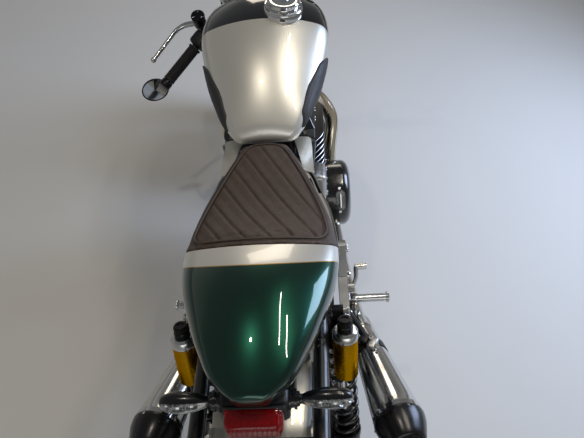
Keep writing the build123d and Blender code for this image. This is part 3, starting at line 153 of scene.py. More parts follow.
@dataclass(frozen=True)
class Finish:
    """A surface finish: what it is made of and how it was worked."""

    name: str
    colour: str
    roughness: float
    metallic: float = 0.0
    ior: float = 1.5
    coat: float = 0.0
    coat_roughness: float = 0.03
    # the tint of light that grazes the surface
    edge: str = "#ffffff"
    transmission: float = 0.0
    grain: Grain = Grain.NONE
    grain_mm: float = 1.0
    relief_mm: float = 0.0
    # how far the brightness drifts, over what distance, and how far the roughness does
    mottle: float = 0.08
    mottle_mm: float = 45.0
    smudge: float = 0.05

    def noise(self, tree: bpy.types.NodeTree, coordinates: Any, size_mm: float, detail: float) -> Any:
        """A cloudy pattern with features of a real size.

        Args:
            tree: the node tree.
            coordinates: the socket that gives places in metres.
            size_mm: the size of one cloud.
            detail: how many finer layers it has.

        Returns:
            The socket with the pattern, from 0 to 1.
        """
        settings = {"Scale": 1 / (size_mm * MM), "Detail": detail, "Roughness": 0.55}
        return add_node(tree, "ShaderNodeTexNoise", settings, {"Vector": coordinates}).outputs[0]

    def ranged(self, tree: bpy.types.NodeTree, source: Any, low: float, high: float) -> Any:
        """The middle of a pattern's range spread between two values.

        Args:
            tree: the node tree.
            source: the pattern's socket.
            low: the value at its dark end.
            high: the value at its light end.

        Returns:
            The socket with the spread values.
        """
        settings = {"From Min": 0.3, "From Max": 0.7, "To Min": low, "To Max": high}
        return add_node(tree, "ShaderNodeMapRange", settings, {"Value": source}).outputs[0]

    def base_colour(self, tree: bpy.types.NodeTree, shader: Any) -> Any:
        """The colour before its brightness drifts; a plain finish has just the one.

        Args:
            tree: the node tree.
            shader: the shader; not used by a plain finish, only by finishes that also change its metal and
                roughness.

        Returns:
            The colour socket.
        """
        colour = add_node(tree, "ShaderNodeRGB").outputs[0]
        colour.default_value = linear(self.colour)
        return colour

    def relief(self, tree: bpy.types.NodeTree, coordinates: Any) -> Any:
        """The height pattern of the surface's small relief.

        Args:
            tree: the node tree.
            coordinates: the socket that gives places in metres.

        Returns:
            The height socket.
        """
        if self.grain is Grain.LEATHER:
            settings = {"feature": "DISTANCE_TO_EDGE", "Scale": 1 / (self.grain_mm * MM), "Randomness": 1.0}
            cells = add_node(
                tree, "ShaderNodeTexVoronoi", settings, {"Vector": coordinates}).outputs["Distance"]
            pores = self.noise(tree, coordinates, self.grain_mm * 6, 6)
            return add_node(tree, "ShaderNodeMath", {"operation": "ADD"}, {0: cells, 1: pores}).outputs[0]
        detail = 1.0 if self.grain is Grain.SPRAYED else 5.0
        return self.noise(tree, coordinates, self.grain_mm, detail)

    def material(self) -> bpy.types.Material:
        """The finish as a material, made once and then shared."""
        name = f"{self.name}_finish"
        ready = bpy.data.materials.get(name)
        if ready:
            return ready
        made = bpy.data.materials.new(name)
        made.use_nodes = True
        tree = made.node_tree
        tree.nodes.clear()
        shader = add_node(
            tree, "ShaderNodeBsdfPrincipled", {
                "Metallic": self.metallic, "Coat Weight": self.coat, "Coat Roughness": self.coat_roughness,
                "Transmission Weight": self.transmission, "Specular Tint": linear(self.edge)})
        if self.metallic < 0.5:
            shader.inputs["IOR"].default_value = self.ior
        coordinates = add_node(tree, "ShaderNodeTexCoord").outputs["Object"]
        drift = self.noise(tree, coordinates, self.mottle_mm, 4)
        value = self.ranged(tree, drift, 1 - self.mottle, 1 + self.mottle)
        colour = self.base_colour(tree, shader)
        drifted = add_node(tree, "ShaderNodeHueSaturation", {}, {"Value": value, "Color": colour}).outputs[0]
        tree.links.new(drifted, shader.inputs["Base Color"])
        if not shader.inputs["Roughness"].is_linked:
            wiped = self.noise(tree, coordinates, self.mottle_mm * 0.4, 3)
            low, high = max(0.01, self.roughness - self.smudge), self.roughness + self.smudge
            tree.links.new(self.ranged(tree, wiped, low, high), shader.inputs["Roughness"])
        if self.grain is not Grain.NONE:
            settings = {"Distance": self.relief_mm * MM, "Strength": 1.0}
            bump = add_node(tree, "ShaderNodeBump", settings, {"Height": self.relief(tree, coordinates)})
            tree.links.new(bump.outputs[0], shader.inputs["Normal"])
        add_node(tree, "ShaderNodeOutputMaterial", {}, {"Surface": shader.outputs[0]})
        return made


@dataclass(frozen=True)
class Zone:
    """One colour zone of a finish, up to a value of the piece's own zone measure."""

    until: float
    colour: str
    metallic: float
    roughness: float


@dataclass(frozen=True)
class ZonedFinish(Finish):
    """A finish whose colour changes along a measure that each point of the mesh carries."""

    zones: tuple[Zone, ...] = ()
    blended: bool = False

    def base_colour(self, tree: bpy.types.NodeTree, shader: Any) -> Any:
        """Colour, metal and roughness ramps driven by the mesh's zone measure.

        Args:
            tree: the node tree.
            shader: the shader that the metal and roughness ramps feed.

        Returns:
            The colour socket.
        """
        low, high = self.zones[0].until - 10, self.zones[-1].until
        measure = add_node(tree, "ShaderNodeAttribute", {"attribute_name": "zone"}).outputs["Fac"]
        settings = {"From Min": low, "From Max": high}
        share = add_node(tree, "ShaderNodeMapRange", settings, {"Value": measure}).outputs[0]
        rows = {
            "Base Color": [linear(z.colour) for z in self.zones],
            "Metallic": [(z.metallic,) * 3 + (1,) for z in self.zones],
            "Roughness": [(z.roughness,) * 3 + (1,) for z in self.zones]}
        starts = [(z.until - low) / (high - low) for z in self.zones[:-1]]
        ramps = {}
        for socket, colours in rows.items():
            node = add_node(tree, "ShaderNodeValToRGB", {}, {"Fac": share})
            ramp = node.color_ramp
            ramp.interpolation = "EASE" if self.blended else "CONSTANT"
            ramp.elements.remove(ramp.elements[1])
            ramp.elements[0].color = colours[0]
            for start, colour in zip(starts, colours[1:]):
                ramp.elements.new(start).color = colour
            ramps[socket] = node.outputs[0]
        tree.links.new(ramps["Metallic"], shader.inputs["Metallic"])
        tree.links.new(ramps["Roughness"], shader.inputs["Roughness"])
        return ramps["Base Color"]


# The flake, the sprayed and cast skins and the brush marks below are finer on a real machine than a
# picture of the whole can show, so each is drawn as coarse as it needs to be seen.
SILVER = "#dedcd3"
# Two-coat silver flake paint under clear lacquer: soft metal glow with a sharp gloss over it
TANK_PAINT = ZonedFinish(
    "tank_flake_paint", SILVER, 0.36, coat=1.0, grain=Grain.SPRAYED, grain_mm=0.7, relief_mm=0.006,
    mottle=0.03, mottle_mm=0.9, zones=(Zone(0, SILVER, 0.72, 0.38), Zone(60, "#08080a", 0.0, 0.12)))
# The same silver, a gold hand line and green flake on the tail
COWL_PAINT = ZonedFinish(
    "tail_flake_paint", "#0b4433", 0.3, coat=1.0, grain=Grain.SPRAYED, grain_mm=0.7, relief_mm=0.006,
    mottle=0.05, mottle_mm=0.9, zones=(Zone(0, SILVER, 0.72, 0.38), Zone(2.4, "#b98d33", 0.6, 0.35),
        Zone(400, "#063a2c", 0.9, 0.3)))
# The silver paint alone, on sheet metal: the same soft glow under gloss
SILVER_PAINT = Finish(
    "silver_flake_paint", SILVER, 0.36, 0.72, coat=1.0, grain=Grain.SPRAYED, grain_mm=0.7, relief_mm=0.006,
    mottle=0.03, mottle_mm=0.9)
# Waxed hide over foam: a broken satin shine with fine pores
LEATHER = Finish(
    "brown_leather", "#4a3d35", 0.58, grain=Grain.LEATHER, grain_mm=1.3, relief_mm=0.28, mottle=0.14,
    mottle_mm=16, smudge=0.1)
# Waxed thread: dull, and darker than the hide so that the stitches read as dots
THREAD = Finish("waxed_thread", "#1f1613", 0.6, grain=Grain.CAST, grain_mm=0.6, relief_mm=0.1)
# Moulded soft rubber: dull, with a fine grained skin
PAD_RUBBER = Finish(
    "pad_rubber", "#2e2e30", 0.55, grain=Grain.CAST, grain_mm=1.2, relief_mm=0.08, mottle=0.08)
# Grip and stub rubber: darker and drier than the pads
GRIP_RUBBER = Finish("grip_rubber", "#151516", 0.7, grain=Grain.CAST, grain_mm=1.2, relief_mm=0.08)
# Carbon black road tyre compound: matt, a little dusty
TYRE_RUBBER = Finish(
    "tyre_rubber", "#1b1b1c", 0.82, grain=Grain.CAST, grain_mm=1.6, relief_mm=0.12, mottle=0.2, mottle_mm=30,
    smudge=0.08)
# Chromium plate: a hard mirror
CHROME = Finish("chrome_plate", "#e4e4e2", 0.05, 1.0, mottle=0.02, smudge=0.03)
# Stainless steel, mop polished: a mirror with faint wiping marks along it
STAINLESS = Finish(
    "polished_stainless", "#cfcdc9", 0.13, 1.0, mottle=0.03, smudge=0.05, grain=Grain.BRUSHED, grain_mm=6.0,
    relief_mm=0.01)
# Stainless header tube, straw and blue where it ran hot
HEAT_TINT = ZonedFinish(
    "heat_tinted_stainless", "#cbb894", 0.2, 1.0, grain=Grain.BRUSHED, grain_mm=6.0, relief_mm=0.01,
    blended=True, zones=(Zone(20, "#55507a", 1.0, 0.22), Zone(70, "#b0642f", 1.0, 0.22),
        Zone(150, "#a98fa0", 1.0, 0.2), Zone(320, "#c9b9a0", 1.0, 0.18), Zone(620, "#d9d2bd", 1.0, 0.16),
        Zone(1600, "#d4d0c8", 1.0, 0.14)))
# Cast aluminium, shot blasted and bright: soft metal light with a sandy skin
CAST_ALUMINIUM = Finish(
    "cast_aluminium", "#b9b9b7", 0.34, 1.0, grain=Grain.CAST, grain_mm=1.4, relief_mm=0.05, mottle=0.06,
    smudge=0.06)
# Turned aluminium: bright with fine tool marks
TURNED_ALUMINIUM = Finish(
    "turned_aluminium", "#d4d4d2", 0.2, 1.0, grain=Grain.BRUSHED, grain_mm=1.5, relief_mm=0.01, mottle=0.03)
# Gold anodised aluminium, turned and dyed: a deep satin gold that pales to yellow at its edges
GOLD = Finish(
    "gold_anodised", "#b98716", 0.27, 1.0, edge="#f0cf70", grain=Grain.BRUSHED, grain_mm=2.0, relief_mm=0.008,
    mottle=0.05)
# Black anodised aluminium: dark satin with a metal edge
BLACK_ANODISED = Finish(
    "black_anodised", "#17171a", 0.34, 0.6, grain=Grain.CAST, grain_mm=1.2, relief_mm=0.02)
# Stoved gloss enamel on steel and castings: deep black under a shine
GLOSS_ENAMEL = Finish(
    "gloss_black_enamel", "#070708", 0.22, coat=0.9, coat_roughness=0.06, grain=Grain.SPRAYED, grain_mm=3.0,
    relief_mm=0.02)
# Satin powder coat, baked on tubes: black with a broad, soft shine
FRAME_ENAMEL = Finish(
    "black_powder_coat", "#0c0c0d", 0.36, coat=0.35, coat_roughness=0.2, grain=Grain.SPRAYED, grain_mm=2.2,
    relief_mm=0.04)
# Satin enamel baked on castings: dark, its shine broken by the cast skin
ENGINE_ENAMEL = Finish(
    "engine_enamel", "#101012", 0.42, coat=0.2, coat_roughness=0.3, grain=Grain.CAST, grain_mm=1.6,
    relief_mm=0.06)
# Ceramic coated steel: a dark, smooth half shine that takes heat
CERAMIC = Finish(
    "black_ceramic_coating", "#131317", 0.3, 0.35, coat=0.4, coat_roughness=0.2, grain=Grain.CAST,
    grain_mm=1.0, relief_mm=0.015)
# Injection moulded black plastic: fine spark grain
BLACK_PLASTIC = Finish(
    "moulded_black_plastic", "#121214", 0.42, grain=Grain.CAST, grain_mm=0.9, relief_mm=0.04)
# Polished black plastic: one broad, slightly soft highlight
GLOSS_PLASTIC = Finish("gloss_black_plastic", "#0a0b0e", 0.24, coat=0.3, coat_roughness=0.12)
# Black for soot inside the silencers' outlets; there and in the side panels' slits it is also painted shade
SOOT_AND_SHADE = Finish("soot_and_shade_black", "#050505", 0.85, grain=Grain.CAST, grain_mm=1.5, relief_mm=0.08)
# Shot peened spring steel under gloss black: thin bright lines along the wire
SPRING_STEEL = Finish("black_spring_steel", "#0b0b0c", 0.25, coat=0.7, coat_roughness=0.1)
# Ground disc steel: rings of fine scratches
BRAKE_STEEL = Finish(
    "ground_brake_steel", "#a3a3a1", 0.28, 1.0, grain=Grain.BRUSHED, grain_mm=2.0, relief_mm=0.02)
# Oiled chain steel: brownish metal, patchy where the oil has gathered
CHAIN_STEEL = Finish(
    "oiled_chain_steel", "#6d6659", 0.34, 1.0, grain=Grain.CAST, grain_mm=1.5, relief_mm=0.03, mottle=0.2,
    mottle_mm=8)
# Alloy rim, machine polished: a mirror, softer than chrome
RIM_ALLOY = Finish("polished_rim_alloy", "#c9c9c8", 0.14, 1.0, mottle=0.03)
# Moulded acrylic lenses: a clear or red body with a hard gloss, over a mirror
RED_LENS = Finish("red_acrylic", "#c40410", 0.04, ior=1.45, transmission=0.7, mottle=0.02, smudge=0.01)
CLEAR_LENS = Finish("clear_acrylic", "#eef1f2", 0.04, ior=1.49, transmission=0.95, mottle=0.0, smudge=0.02)
# Moulded red plastic: bright and plain
RED_BUTTON = Finish("red_button_plastic", "#a5161c", 0.4)
# Screen printed dials: matt black faces with off-white marks
DIAL_BLACK = Finish("dial_black", "#0d0d0f", 0.5)
DIAL_WHITE = Finish("dial_white_print", "#e6e4dc", 0.5)
# Bare rolled sheet for the blank number plate: pale satin metal
PLATE_WHITE = Finish(
    "bare_plate_aluminium", "#c9cac8", 0.32, 0.9, mottle=0.04, grain=Grain.BRUSHED, grain_mm=4.0,
    relief_mm=0.01)


class Machine:
    """The parked machine: its CAD nodes, and the way from the upright machine to where it leans."""

    def __init__(self, frame: dict) -> None:
        """Works out the lean and the steering turn from the record's axes.
        """
        mounts = {m["name"]: m for m in frame["record"]["mounts"]}
        joints = {j["name"]: j for j in frame["joints"]}
        across = Vector(mounts["rear_axle_bore"]["axis"]).normalized()
        steering_up = Vector(joints["steering_turn"]["axis"]).normalized()
        side = across.cross(steering_up)
        forward = -math.cos(RAKE) * side - math.sin(RAKE) * steering_up
        up = math.cos(RAKE) * steering_up - math.sin(RAKE) * side
        origin = Vector(mounts["rear_axle_bore"]["pos_m"]) - up * REAR_AXLE.z * MM
        columns = Matrix((across * MM, forward * MM, up * MM)).transposed().to_4x4()
        self.nodes = frame["nodes"]
        self.fixed = Matrix.Translation(origin) @ columns
        turn = Matrix.Rotation(STEER_LOCK, 4, (0, -math.sin(RAKE), math.cos(RAKE)))
        self.steered = (
            self.fixed @ Matrix.Translation(STEERING_FOOT) @ turn @ Matrix.Translation(-STEERING_FOOT))

    def placement(self, body: Body) -> Matrix:
        """The matrix from the upright machine to the parked one for a body."""
        return self.steered if body in (Body.STEERING, Body.FRONT_WHEEL) else self.fixed

    def adopt(self, obj: bpy.types.Object, body: Body, slot: str, stands_for: Sequence[str] = ()) -> None:
        """Makes a piece ride on a body and stand for CAD nodes.

        Args:
            obj: the piece, in place.
            body: the body it moves with.
            slot: the record's material slot; not used.
            stands_for: the nodes that it hides.
        """
        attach(obj, body.value)
        if stands_for:
            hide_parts(*stands_for)
        log.info("%s: %d points on %s", obj.name, len(obj.data.vertices), body.value)

    def dress(self, finish: Finish, *names: str, soften: float = 0.0) -> None:
        """Gives CAD nodes a finish; they keep their shape.

        Args:
            finish: the finish.
            names: the nodes.
            soften: millimetres by which their sharp edges are rounded over.
        """
        for name in names:
            if soften:
                bevel = self.nodes[name].modifiers.new("soft_edges", "BEVEL")
                bevel.width, bevel.segments = soften * MM, 2
                bevel.limit_method, bevel.angle_limit = "ANGLE", math.radians(50)
            self.nodes[name].data.materials.clear()
            self.nodes[name].data.materials.append(finish.material())
            log.info("%s: CAD node in %s", name, finish.name)


def unit(vector: Point) -> Vector:
    """A vector scaled to length one."""
    return Vector(vector).normalized()


def across_axis(axis: Vector) -> tuple[Vector, Vector]:
    """Two directions square to an axis and to each other.

    Args:
        axis: the unit axis.

    Returns:
        The two unit directions.
    """
    helper = UP if abs(axis.z) < 0.9 else AHEAD
    first = helper.cross(axis).normalized()
    return first, axis.cross(first)


def turns(count: int, start: float = 0.0) -> list[float]:
    """Evenly spaced angles round a circle, the first a share of their spacing on from zero."""
    return [2 * math.pi * (k + start) / count for k in range(count)]


def polar(radius: float, turn: float, middle: Sequence[float] = (0, 0)) -> tuple[float, float]:
    """The flat point at a distance and an angle from a middle."""
    return middle[0] + radius * math.cos(turn), middle[1] + radius * math.sin(turn)


def circle(radius: float, count: int = 24, middle: Sequence[float] = (0, 0)) -> Outline:
    """A flat circle's points."""
    return [polar(radius, turn, middle) for turn in turns(count)]


def spoke(axis: Vector, turn: float) -> Vector:
    """The unit direction square to an axis at an angle round it."""
    first, second = across_axis(axis)
    return first * math.cos(turn) + second * math.sin(turn)


def filleted(points: Sequence[Point], share: float = 0.45, step: float = 7.0) -> list[Vector]:
    """A path of straight runs joined by arcs as large as the runs allow.

    Args:
        points: the corners.
        share: how much of the shorter run each arc takes.
        step: degrees between points on an arc.

    Returns:
        The points of the path.
    """
    corners = [Vector(p) for p in points]
    path = [corners[0]]
    for before, corner, after in zip(corners, corners[1:], corners[2:]):
        inward, outward = (corner - before).normalized(), (after - corner).normalized()
        turn = inward.angle(outward)
        reach = share * min((corner - before).length, (after - corner).length)
        if turn < 1e-3:
            path.append(corner)
            continue
        radius = reach / math.tan(turn / 2)
        centre = corner + (outward - inward).normalized() * radius / math.cos(turn / 2)
        start = corner - inward * reach
        count = max(2, math.ceil(math.degrees(turn) / step))
        axis = inward.cross(outward)
        for k in range(count + 1):
            path.append(centre + Matrix.Rotation(turn * k / count, 3, axis) @ (start - centre))
    path.append(corners[-1])
    return path


def blend_between(places: Sequence[float], values: Sequence[float], at: float) -> float:
    """A smooth curve through rows of values.

    Args:
        places: where the rows are, rising.
        values: the value at each row.
        at: where to read the curve.

    Returns:
        The value there.
    """
    x, v = np.asarray(places, float), np.asarray(values, float)
    i = int(np.clip(np.searchsorted(x, at) - 1, 0, len(x) - 2))
    slopes = np.gradient(v, x)
    width = x[i + 1] - x[i]
    t = float(np.clip((at - x[i]) / width, 0, 1))
    a, b = 2 * t**3 - 3 * t**2 + 1, -2 * t**3 + 3 * t**2
    c, d = t**3 - 2 * t**2 + t, t**3 - t**2
    return float(a * v[i] + b * v[i + 1] + width * (c * slopes[i] + d * slopes[i + 1]))


class Shell:
    """A mesh in the making, in millimetres on the upright machine."""

    def __init__(self) -> None:
        """Starts empty."""
        self.points: list[Vector] = []
        self.faces: list[tuple[int, ...]] = []
        self.tones: list[int] = []
        self.zones: list[float] = []

    def add(
            self, points: Iterable[Point], faces: Iterable[Sequence[int]], tone: int = 0,
            zones: Sequence[float] | None = None) -> "Shell":
        """Adds loose geometry.

        Args:
            points: new points.
            faces: faces over them, counted from the first new point.
            tone: which of the piece's finishes the faces take.
            zones: the zone measure of each new point.

        Returns:
            This shell, so that calls can follow each other.
        """
        base, new = len(self.points), [Vector(p) for p in points]
        self.points += new
        self.zones += list(zones) if zones is not None else [0.0] * len(new)
        for face in faces:
            self.faces.append(tuple(base + i for i in face))
            self.tones.append(tone)
        return self

    def loft(
            self, rings: Sequence[Sequence[Point]], tone: int = 0, caps: tuple[bool, bool] = (True, True),
            closed: bool = True, zones: Sequence[Sequence[float]] | None = None,
            joined: bool = False) -> "Shell":
        """Joins rings of points into a skin.

        Args:
            rings: rings with the same number of points.
            tone: which finish the skin takes.
            caps: whether the first and last ring are filled.
            closed: whether each ring closes on itself.
            zones: the zone measure of each point.
            joined: whether the last ring joins the first.

        Returns:
            This shell.
        """
        n, faces = len(rings[0]), []
        spans = range(len(rings) if joined else len(rings) - 1)
        for r in spans:
            after = (r + 1) % len(rings)
            for k in range(n if closed else n - 1):
                m = (k + 1) % n
                faces.append((r * n + k, r * n + m, after * n + m, after * n + k))
        if caps[0] and not joined:
            faces.append(tuple(range(n - 1, -1, -1)))
        if caps[1] and not joined:
            faces.append(tuple((len(rings) - 1) * n + k for k in range(n)))
        flat = [value for ring in zones for value in ring] if zones else None
        return self.add([p for ring in rings for p in ring], faces, tone, flat)

    def lathe(
            self, start: Point, axis: Point, profile: Sequence[Sequence[float]], tone: int = 0,
            segments: int = 48, closed_loop: bool = False) -> "Shell":
        """Turns a profile about an axis.

        Args:
            start: the axis's first point.
            axis: its direction.
            profile: rows of distance along the axis and radius.
            tone: which finish it takes.
            segments: how many sides it has.
            closed_loop: whether the profile closes on itself, as a ring's does.

        Returns:
            This shell.
        """
        origin, along = Vector(start), unit(axis)
        spokes = [spoke(along, turn) for turn in turns(segments)]
        rings = [
            [origin + along * distance + out * max(radius, 0.01) for out in spokes]
            for distance, radius in profile]
        return self.loft(rings, tone, joined=closed_loop)

    def tube(
            self, path: Sequence[Point], radius: float | Sequence[float], tone: int = 0, segments: int = 16,
            closed: bool = False, measured: bool = False) -> "Shell":
        """A round tube along a path.

        Args:
            path: the points of its middle line.
            radius: one radius, or one for each point.
            tone: which finish it takes.
            segments: how many sides it has.
            closed: whether the path closes on itself.
            measured: whether each point carries its distance along the path as its zone.

        Returns:
            This shell.
        """
        line = [Vector(p) for p in path]
        line = [p for i, p in enumerate(line) if i == 0 or (p - line[i - 1]).length > 1e-4]
        radii = [radius] * len(line) if isinstance(radius, (int, float)) else list(radius)
        rings, zones, travelled = [], [], 0.0
        normal = None
        for i, point in enumerate(line):
            before = line[i - 1] if i or closed else point
            after = line[(i + 1) % len(line)] if i < len(line) - 1 or closed else point
            along = (after - before).normalized()
            if normal is None:
                normal = across_axis(along)[0]
            normal = (normal - along * normal.dot(along)).normalized()
            second = along.cross(normal)
            rings.append(
                [point + (normal * math.cos(t) + second * math.sin(t)) * radii[i] for t in turns(segments)])
            travelled += (point - line[i - 1]).length if i else 0.0
            zones.append([travelled if measured else 0.0] * segments)
        return self.loft(rings, tone, zones=zones, joined=closed)

    def box(
            self, centre: Point, size: Point, axes: Matrix | None = None, round_mm: float = 0.0,
            tone: int = 0, segments: int = 3) -> "Shell":
        """A block with rounded edges.

        Args:
            centre: its middle.
            size: its three sides.
            axes: how it is turned.
            round_mm: the radius of its edges.
            tone: which finish it takes.
            segments: how many faces round an edge.

        Returns:
            This shell.
        """
        work = bmesh.new()
        bmesh.ops.create_cube(work, size=1.0)
        bmesh.ops.scale(work, vec=Vector(size), verts=work.verts)
        if round_mm:
            bmesh.ops.bevel(
                work, geom=list(work.edges), offset=round_mm, segments=segments, profile=0.5, affect="EDGES")
        turn = (axes or Matrix.Identity(3)).to_3x3()
        points = [Vector(centre) + turn @ v.co for v in work.verts]
        faces = [[v.index for v in f.verts] for f in work.faces]
        work.free()
        return self.add(points, faces, tone)

    def plate(
            self, outline: Sequence[Sequence[float]], inner: float, outer: float, round_mm: float = 2.0,
            tone: int = 0, corner: float = 0.3) -> "Shell":
        """A flat plate across the machine, with rounded corners and edges.

        Args:
            outline: (y, z) points in order.
            inner: its near face's distance from the middle plane.
            outer: its far face's distance.
            round_mm: the radius of its edges.
            tone: which finish it takes.
            corner: the share of each run that its corners take.

        Returns:
            This shell.
        """
        loop = outline_loop(outline, corner)
        middle, rings = middle_of(loop), []
        shares = (0, 0.25, 0.5, 0.75, 1.0)
        for face, way, order in ((inner, 1, shares), (outer, -1, reversed(shares))):
            for share in order:
                angle = share * math.pi / 2
                inset, rise = round_mm * (1 - math.sin(angle)), round_mm * (1 - math.cos(angle))
                rings.append([(face + way * rise, *shrunk(p, middle, inset)) for p in loop])
        return self.loft(rings, tone)

    def pierced(
            self, outline: Outline, holes: Sequence[Outline], place: Matrix, thickness: float,
            tone: int = 0) -> "Shell":
        """A flat plate with holes through it.

        Args:
            outline: its flat outline.
            holes: the outlines of its holes.
            place: puts its flat plane on the machine; it rises along that plane's z.
            thickness: how thick it is.
            tone: which finish it takes.

        Returns:
            This shell.
        """
        loops = [[Vector((x, y, 0)) for x, y in loop] for loop in (outline, *holes)]
        low = [place @ p for loop in loops for p in loop]
        high = [place @ (p + Vector((0, 0, thickness))) for loop in loops for p in loop]
        faces: list[tuple[int, ...]] = []
        for triangle in tessellate_polygon(loops):
            faces += [tuple(triangle), tuple(len(low) + i for i in reversed(triangle))]
        base = 0
        for loop in loops:
            for k in range(len(loop)):
                a, b = base + k, base + (k + 1) % len(loop)
                faces.append((a, b, len(low) + b, len(low) + a))
            base += len(loop)
        return self.add(low + high, faces, tone)

    def moved(self, place: Matrix) -> "Shell":
        """The same shell with every point carried by a matrix."""
        self.points = [place @ p for p in self.points]
        return self

    def bolt(self, at: Point, axis: Point, size: float = 5.0, tone: int = 0) -> "Shell":
        """A socket cap screw's head, its hexagon sunk.

        Args:
            at: where its head meets the surface.
            axis: the way it looks.
            size: the head's radius.
            tone: which finish it takes.

        Returns:
            This shell.
        """
        profile = (
            (0, size), (size * 0.75, size), (size * 0.95, size * 0.85), (size * 0.95, size * 0.5),
            (size * 0.45, size * 0.48), (size * 0.45, 0.01))
        return self.lathe(Vector(at) - unit(axis) * 0.5, axis, profile, tone, segments=12)

    def mirrored(self) -> "Shell":
        """Adds the same shape on the machine's other side."""
        base = len(self.points)
        self.points += [Vector((-p.x, p.y, p.z)) for p in self.points]
        self.faces += [tuple(base + i for i in reversed(face)) for face in self.faces]
        self.zones *= 2
        self.tones *= 2
        return self

    def build(
            self, name: str, machine: Machine, slot: str, *finishes: Finish, body: Body = Body.CHASSIS,
            stands_for: Sequence[str] = (), smooth: float = 35.0) -> bpy.types.Object:
        """Makes the piece and puts it on its body.

        Args:
            name: the piece's name.
            machine: the parked machine.
            slot: the record's material slot.
            finishes: the finish of each tone.
            body: the body it moves with.
            stands_for: the CAD nodes that it hides.
            smooth: edges sharper than this many degrees stay sharp.

        Returns:
            The piece.
        """
        mesh = bpy.data.meshes.new(name)
        mesh.from_pydata([tuple(p) for p in self.points], [], self.faces)
        mesh.polygons.foreach_set("material_index", self.tones)
        attribute = mesh.attributes.new("zone", "FLOAT", "POINT")
        attribute.data.foreach_set("value", self.zones)
        return settle(mesh, name, machine, body, slot, finishes, stands_for, smooth)


def settle(
        mesh: bpy.types.Mesh, name: str, machine: Machine, body: Body, slot: str, finishes: Sequence[Finish],
        stands_for: Sequence[str], smooth: float) -> bpy.types.Object:
    """Leans a mesh over with its body, cleans it and makes a piece of it.

    Args:
        mesh: the mesh, in millimetres on the upright machine.
        name: the piece's name.
        machine: the parked machine.
        body: the body it moves with.
        slot: the record's material slot.
        finishes: its finishes.
        stands_for: the CAD nodes that it hides.
        smooth: edges sharper than this many degrees stay sharp.

    Returns:
        The piece.
    """
    work = bmesh.new()
    work.from_mesh(mesh)
    bmesh.ops.remove_doubles(work, verts=work.verts, dist=0.004)
    bmesh.ops.dissolve_degenerate(work, edges=work.edges, dist=0.003)
    bmesh.ops.recalc_face_normals(work, faces=work.faces)
    work.to_mesh(mesh)
    work.free()
    mesh.transform(machine.placement(body))
    mesh.shade_smooth()
    mesh.set_sharp_from_angle(angle=math.radians(smooth))
    for finish in finishes:
        mesh.materials.append(finish.material())
    obj = bpy.data.objects.new(name, mesh)
    bpy.context.scene.collection.objects.link(obj)
    machine.adopt(obj, body, slot, stands_for)
    return obj


def outline_loop(outline: Sequence[Sequence[float]], corner: float = 0.3) -> Outline:
    """A closed flat outline with its corners rounded.

    Args:
        outline: the corners.
        corner: the share of each shorter run that an arc takes.

    Returns:
        The points of the loop.
    """
    corners = [Vector((p[0], p[1], 0)) for p in outline]
    start = (corners[-1] + corners[0]) / 2
    path = filleted([start, *corners, start], corner, 15.0)
    return [(p.x, p.y) for p in path[:-1]]


def middle_of(loop: Outline) -> Vector:
    """The mean of a loop's points."""
    return Vector((sum(p[0] for p in loop), sum(p[1] for p in loop))) / len(loop)


def shrunk(point: Sequence[float], middle: Vector, inset: float) -> tuple[float, float]:
    """A flat point moved towards the middle by a distance."""
    away = Vector(point[:2]) - middle
    length = max(away.length, 1e-6)
    moved = middle + away * max(0.0, length - inset) / length
    return moved.x, moved.y


def steering_point(point: Point) -> Vector:
    """A point given on the steering's own axes, on the upright machine."""
    return STEERING_PLACE @ Vector(point)


@dataclass
class Section:
    """One cross-section of a body: flat base, curved flanks and oval crown."""

    y: float
    half_width: float
    side_z: float
    top_z: float
    base_half: float
    base_z: float


def section_at(rows: Sequence[Section], y: float) -> Section:
    """The section between rows at a place along the machine."""
    ordered = sorted(rows, key=lambda row: row.y)
    places = [row.y for row in ordered]
    names = ("half_width", "side_z", "top_z", "base_half", "base_z")
    values = [blend_between(places, [getattr(row, n) for row in ordered], y) for n in names]
    return Section(y, *values)


def crown_outline(
        row: Section, shoulder: float, inset: float = 0.0,
        floor: Callable[[float], float] | None = None) -> Outline:
    """A section's closed outline, from the middle of its base round by the right.

    Args:
        row: the section.
        shoulder: the shoulder arc's share of the crown's rise.
        inset: how far the outline is drawn in, as near a body's end.
        floor: the height of the base at a distance from the middle, for a tunnel in it.

    Returns:
        The (x, z) points.
    """
    half, top = row.half_width - inset, row.top_z - inset
    foot, base = max(row.base_half - inset, 2.0), row.base_z + inset
    side = min(row.side_z, top - 2.0)
    rise, drop = top - side, side - base
    small = min(shoulder * rise, half * 0.96)
    large = (half**2 + rise**2 - 2 * half * small) / (2 * (rise - small))
    turn = math.atan2(large - rise, half - small)
    middle = (half**2 - foot**2 - drop**2) / (2 * max(half - foot, 0.5))
    radius = half - middle
    lowest = math.atan2(drop, foot - middle)
    right = []
    for x in np.linspace(0, 1, 9):
        at = float(x) * foot
        right.append((at, max(base, floor(at)) if floor else base))
    for t in np.linspace(lowest, 0, 11)[1:]:
        right.append((middle + radius * math.cos(t), side - radius * math.sin(t)))
    for t in np.linspace(0, turn, 9)[1:]:
        right.append((half - small + small * math.cos(t), side + small * math.sin(t)))
    for t in np.linspace(turn, math.pi / 2, 15)[1:]:
        right.append((large * math.cos(t), side + rise - large + large * math.sin(t)))
    left = [(-x, z) for x, z in right[-2:0:-1]]
    return right + left


def top_height(row: Section, shoulder: float, x: float) -> float:
    """How high a section's crown stands at a distance from the middle."""
    outline = [p for p in crown_outline(row, shoulder)[:43] if p[1] >= row.side_z]
    ordered = sorted(outline)
    return float(np.interp(abs(x), [p[0] for p in ordered], [p[1] for p in ordered]))


